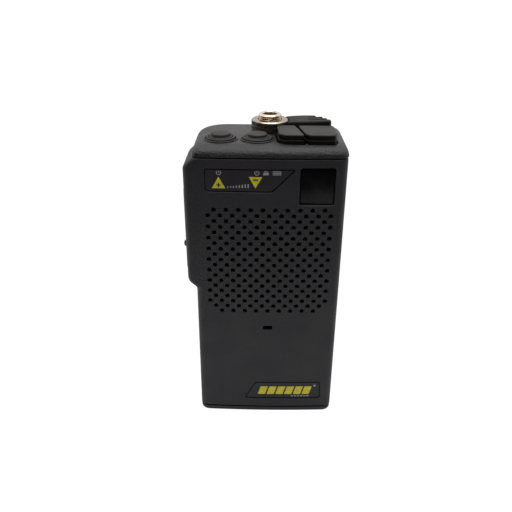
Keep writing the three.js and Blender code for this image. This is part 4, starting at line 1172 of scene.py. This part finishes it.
# ------------------------------------------------- inner pieces kept from CAD
KEEP = {
    "display_lens": "lens", "speaker_cloth": "cloth", "speaker_frame": "steel", "speaker_cone": "cone", "speaker_magnet": "magnet", "mic_boot": "key", "mic_capsule": "tin",
    "main_board": "board", "rf_shield": "tin", "chassis_plate": "steel", "key_board": "board", "ptt_lever": "black", "ptt_switch": "black", "volume_up_switch": "black",
    "volume_down_switch": "black", "left_key_switch": "black", "right_key_switch": "black", "speaker_jack": "black", "mic_jack": "black",
    "case_contact_positive": "brass", "case_contact_negative": "brass",
}
for n, o in NODES.items():
    if not o.hide_render:
        o.data.materials.clear()
        o.data.materials.append(M[KEEP.get(n, "black")])

# ------------------------------------------------------- floor, light, camera
W_BACK, W_TOP, W_SIDE, W_BASE = 0.85, 0.5, 0.66, 0.03
FLOOR_Y = 0.36   # the sweep runs from 0.19 m before the radio to 0.9 m behind it
bm = bmesh.new()
bmesh.ops.create_grid(bm, x_segments=12, y_segments=12, size=0.5)
me = bpy.data.meshes.new("floor")
bm.to_mesh(me)
bm.free()
for v in me.vertices:
    v.co.x *= 1.1
    v.co.y = v.co.y * 1.1 + FLOOR_Y
floor = bpy.data.objects.new("floor", me)
scene.collection.objects.link(floor)
fm = bpy.data.materials.new("floor_white")
fm.use_nodes = True
nt = fm.node_tree
nt.nodes.clear()
out = nt.nodes.new("ShaderNodeOutputMaterial")
df = nt.nodes.new("ShaderNodeBsdfDiffuse")
nt.links.new(mix(nt, noise(nt, nt.nodes.new("ShaderNodeTexCoord").outputs["Object"], 30, 2.0), (0.80, 0.80, 0.80), (0.84, 0.84, 0.84)), df.inputs["Color"])
nt.links.new(df.outputs[0], out.inputs[0])
me.materials.append(fm)
# the white sweep lights and mirrors in the radio, and the view through to the white surround keeps a
# pack that has been slid out of the bottom in sight
floor.visible_camera = False

world = bpy.data.worlds.new("studio")
scene.world = world
world.use_nodes = True
nt = world.node_tree
nt.nodes.clear()
out = nt.nodes.new("ShaderNodeOutputWorld")
lp = nt.nodes.new("ShaderNodeLightPath")
sx = nt.nodes.new("ShaderNodeSeparateXYZ")
nt.links.new(nt.nodes.new("ShaderNodeTexCoord").outputs["Generated"], sx.inputs[0])
back = math_node(nt, "MULTIPLY", remap(nt, sx.outputs[1], -0.15, 0.75, 0.0, W_BACK), remap(nt, sx.outputs[2], -0.2, 0.25))
topw = remap(nt, sx.outputs[2], 0.45, 0.9, 0.0, W_TOP)
side = math_node(nt, "MULTIPLY", remap(nt, math_node(nt, "ABSOLUTE", sx.outputs[0], 0.0), 0.35, 0.9, 0.0, W_SIDE), remap(nt, sx.outputs[1], -0.5, 0.25))
below = remap(nt, sx.outputs[2], -0.4, -0.9, 0.0, 0.35)
lum = math_node(nt, "ADD", math_node(nt, "ADD", back, topw), math_node(nt, "ADD", math_node(nt, "ADD", side, below), W_BASE))
bg1, bg2 = nt.nodes.new("ShaderNodeBackground"), nt.nodes.new("ShaderNodeBackground")
bg1.inputs["Color"].default_value = (0.98, 0.985, 1.0, 1)
nt.links.new(lum, bg1.inputs["Strength"])
bg2.inputs["Color"].default_value = (1, 1, 1, 1)
bg2.inputs["Strength"].default_value = 1.05
ms = nt.nodes.new("ShaderNodeMixShader")
nt.links.new(lp.outputs["Is Camera Ray"], ms.inputs[0])
nt.links.new(bg1.outputs[0], ms.inputs[1])
nt.links.new(bg2.outputs[0], ms.inputs[2])
nt.links.new(ms.outputs[0], out.inputs[0])


def area(name, loc, target, size, power, col=(1, 1, 1)):
    d = bpy.data.lights.new(name, "AREA")
    d.shape = "RECTANGLE"
    d.size, d.size_y = size
    d.energy = power
    d.color = col
    o = bpy.data.objects.new(name, d)
    o.location = loc
    o.rotation_euler = (Vector(target) - Vector(loc)).to_track_quat("-Z", "Y").to_euler()
    scene.collection.objects.link(o)
    return o


area("softbox_top", (0.0, -0.13, 0.80), (0, -0.02, 0.1), (0.8, 0.5), 4.6)

cd = bpy.data.cameras.new("camera")
cam = bpy.data.objects.new("camera", cd)
scene.collection.objects.link(cam)
cd.sensor_width, cd.lens = 36.0, 40.19
cd.clip_start = 0.01
e, a, r = 0.466128, 0.0055616, 0.0072236
right = Vector((math.cos(a), math.sin(a), 0))
fwd = Vector((-math.sin(a), math.cos(a), 0))
up = Vector((0, 0, 1))
F = fwd * math.cos(e) - up * math.sin(e)
U0 = up * math.cos(e) + fwd * math.sin(e)
Rv = right * math.cos(r) + U0 * math.sin(r)
Uv = -right * math.sin(r) + U0 * math.cos(r)
mat = Matrix((Rv, Uv, -F)).transposed().to_4x4()
mat.translation = Vector((-0.004001, -0.236573, 0.194278))
cam.matrix_world = mat
scene.camera = cam
scene.view_settings.view_transform = "Standard"
scene.view_settings.look = "None"
scene.view_settings.exposure = 0.0
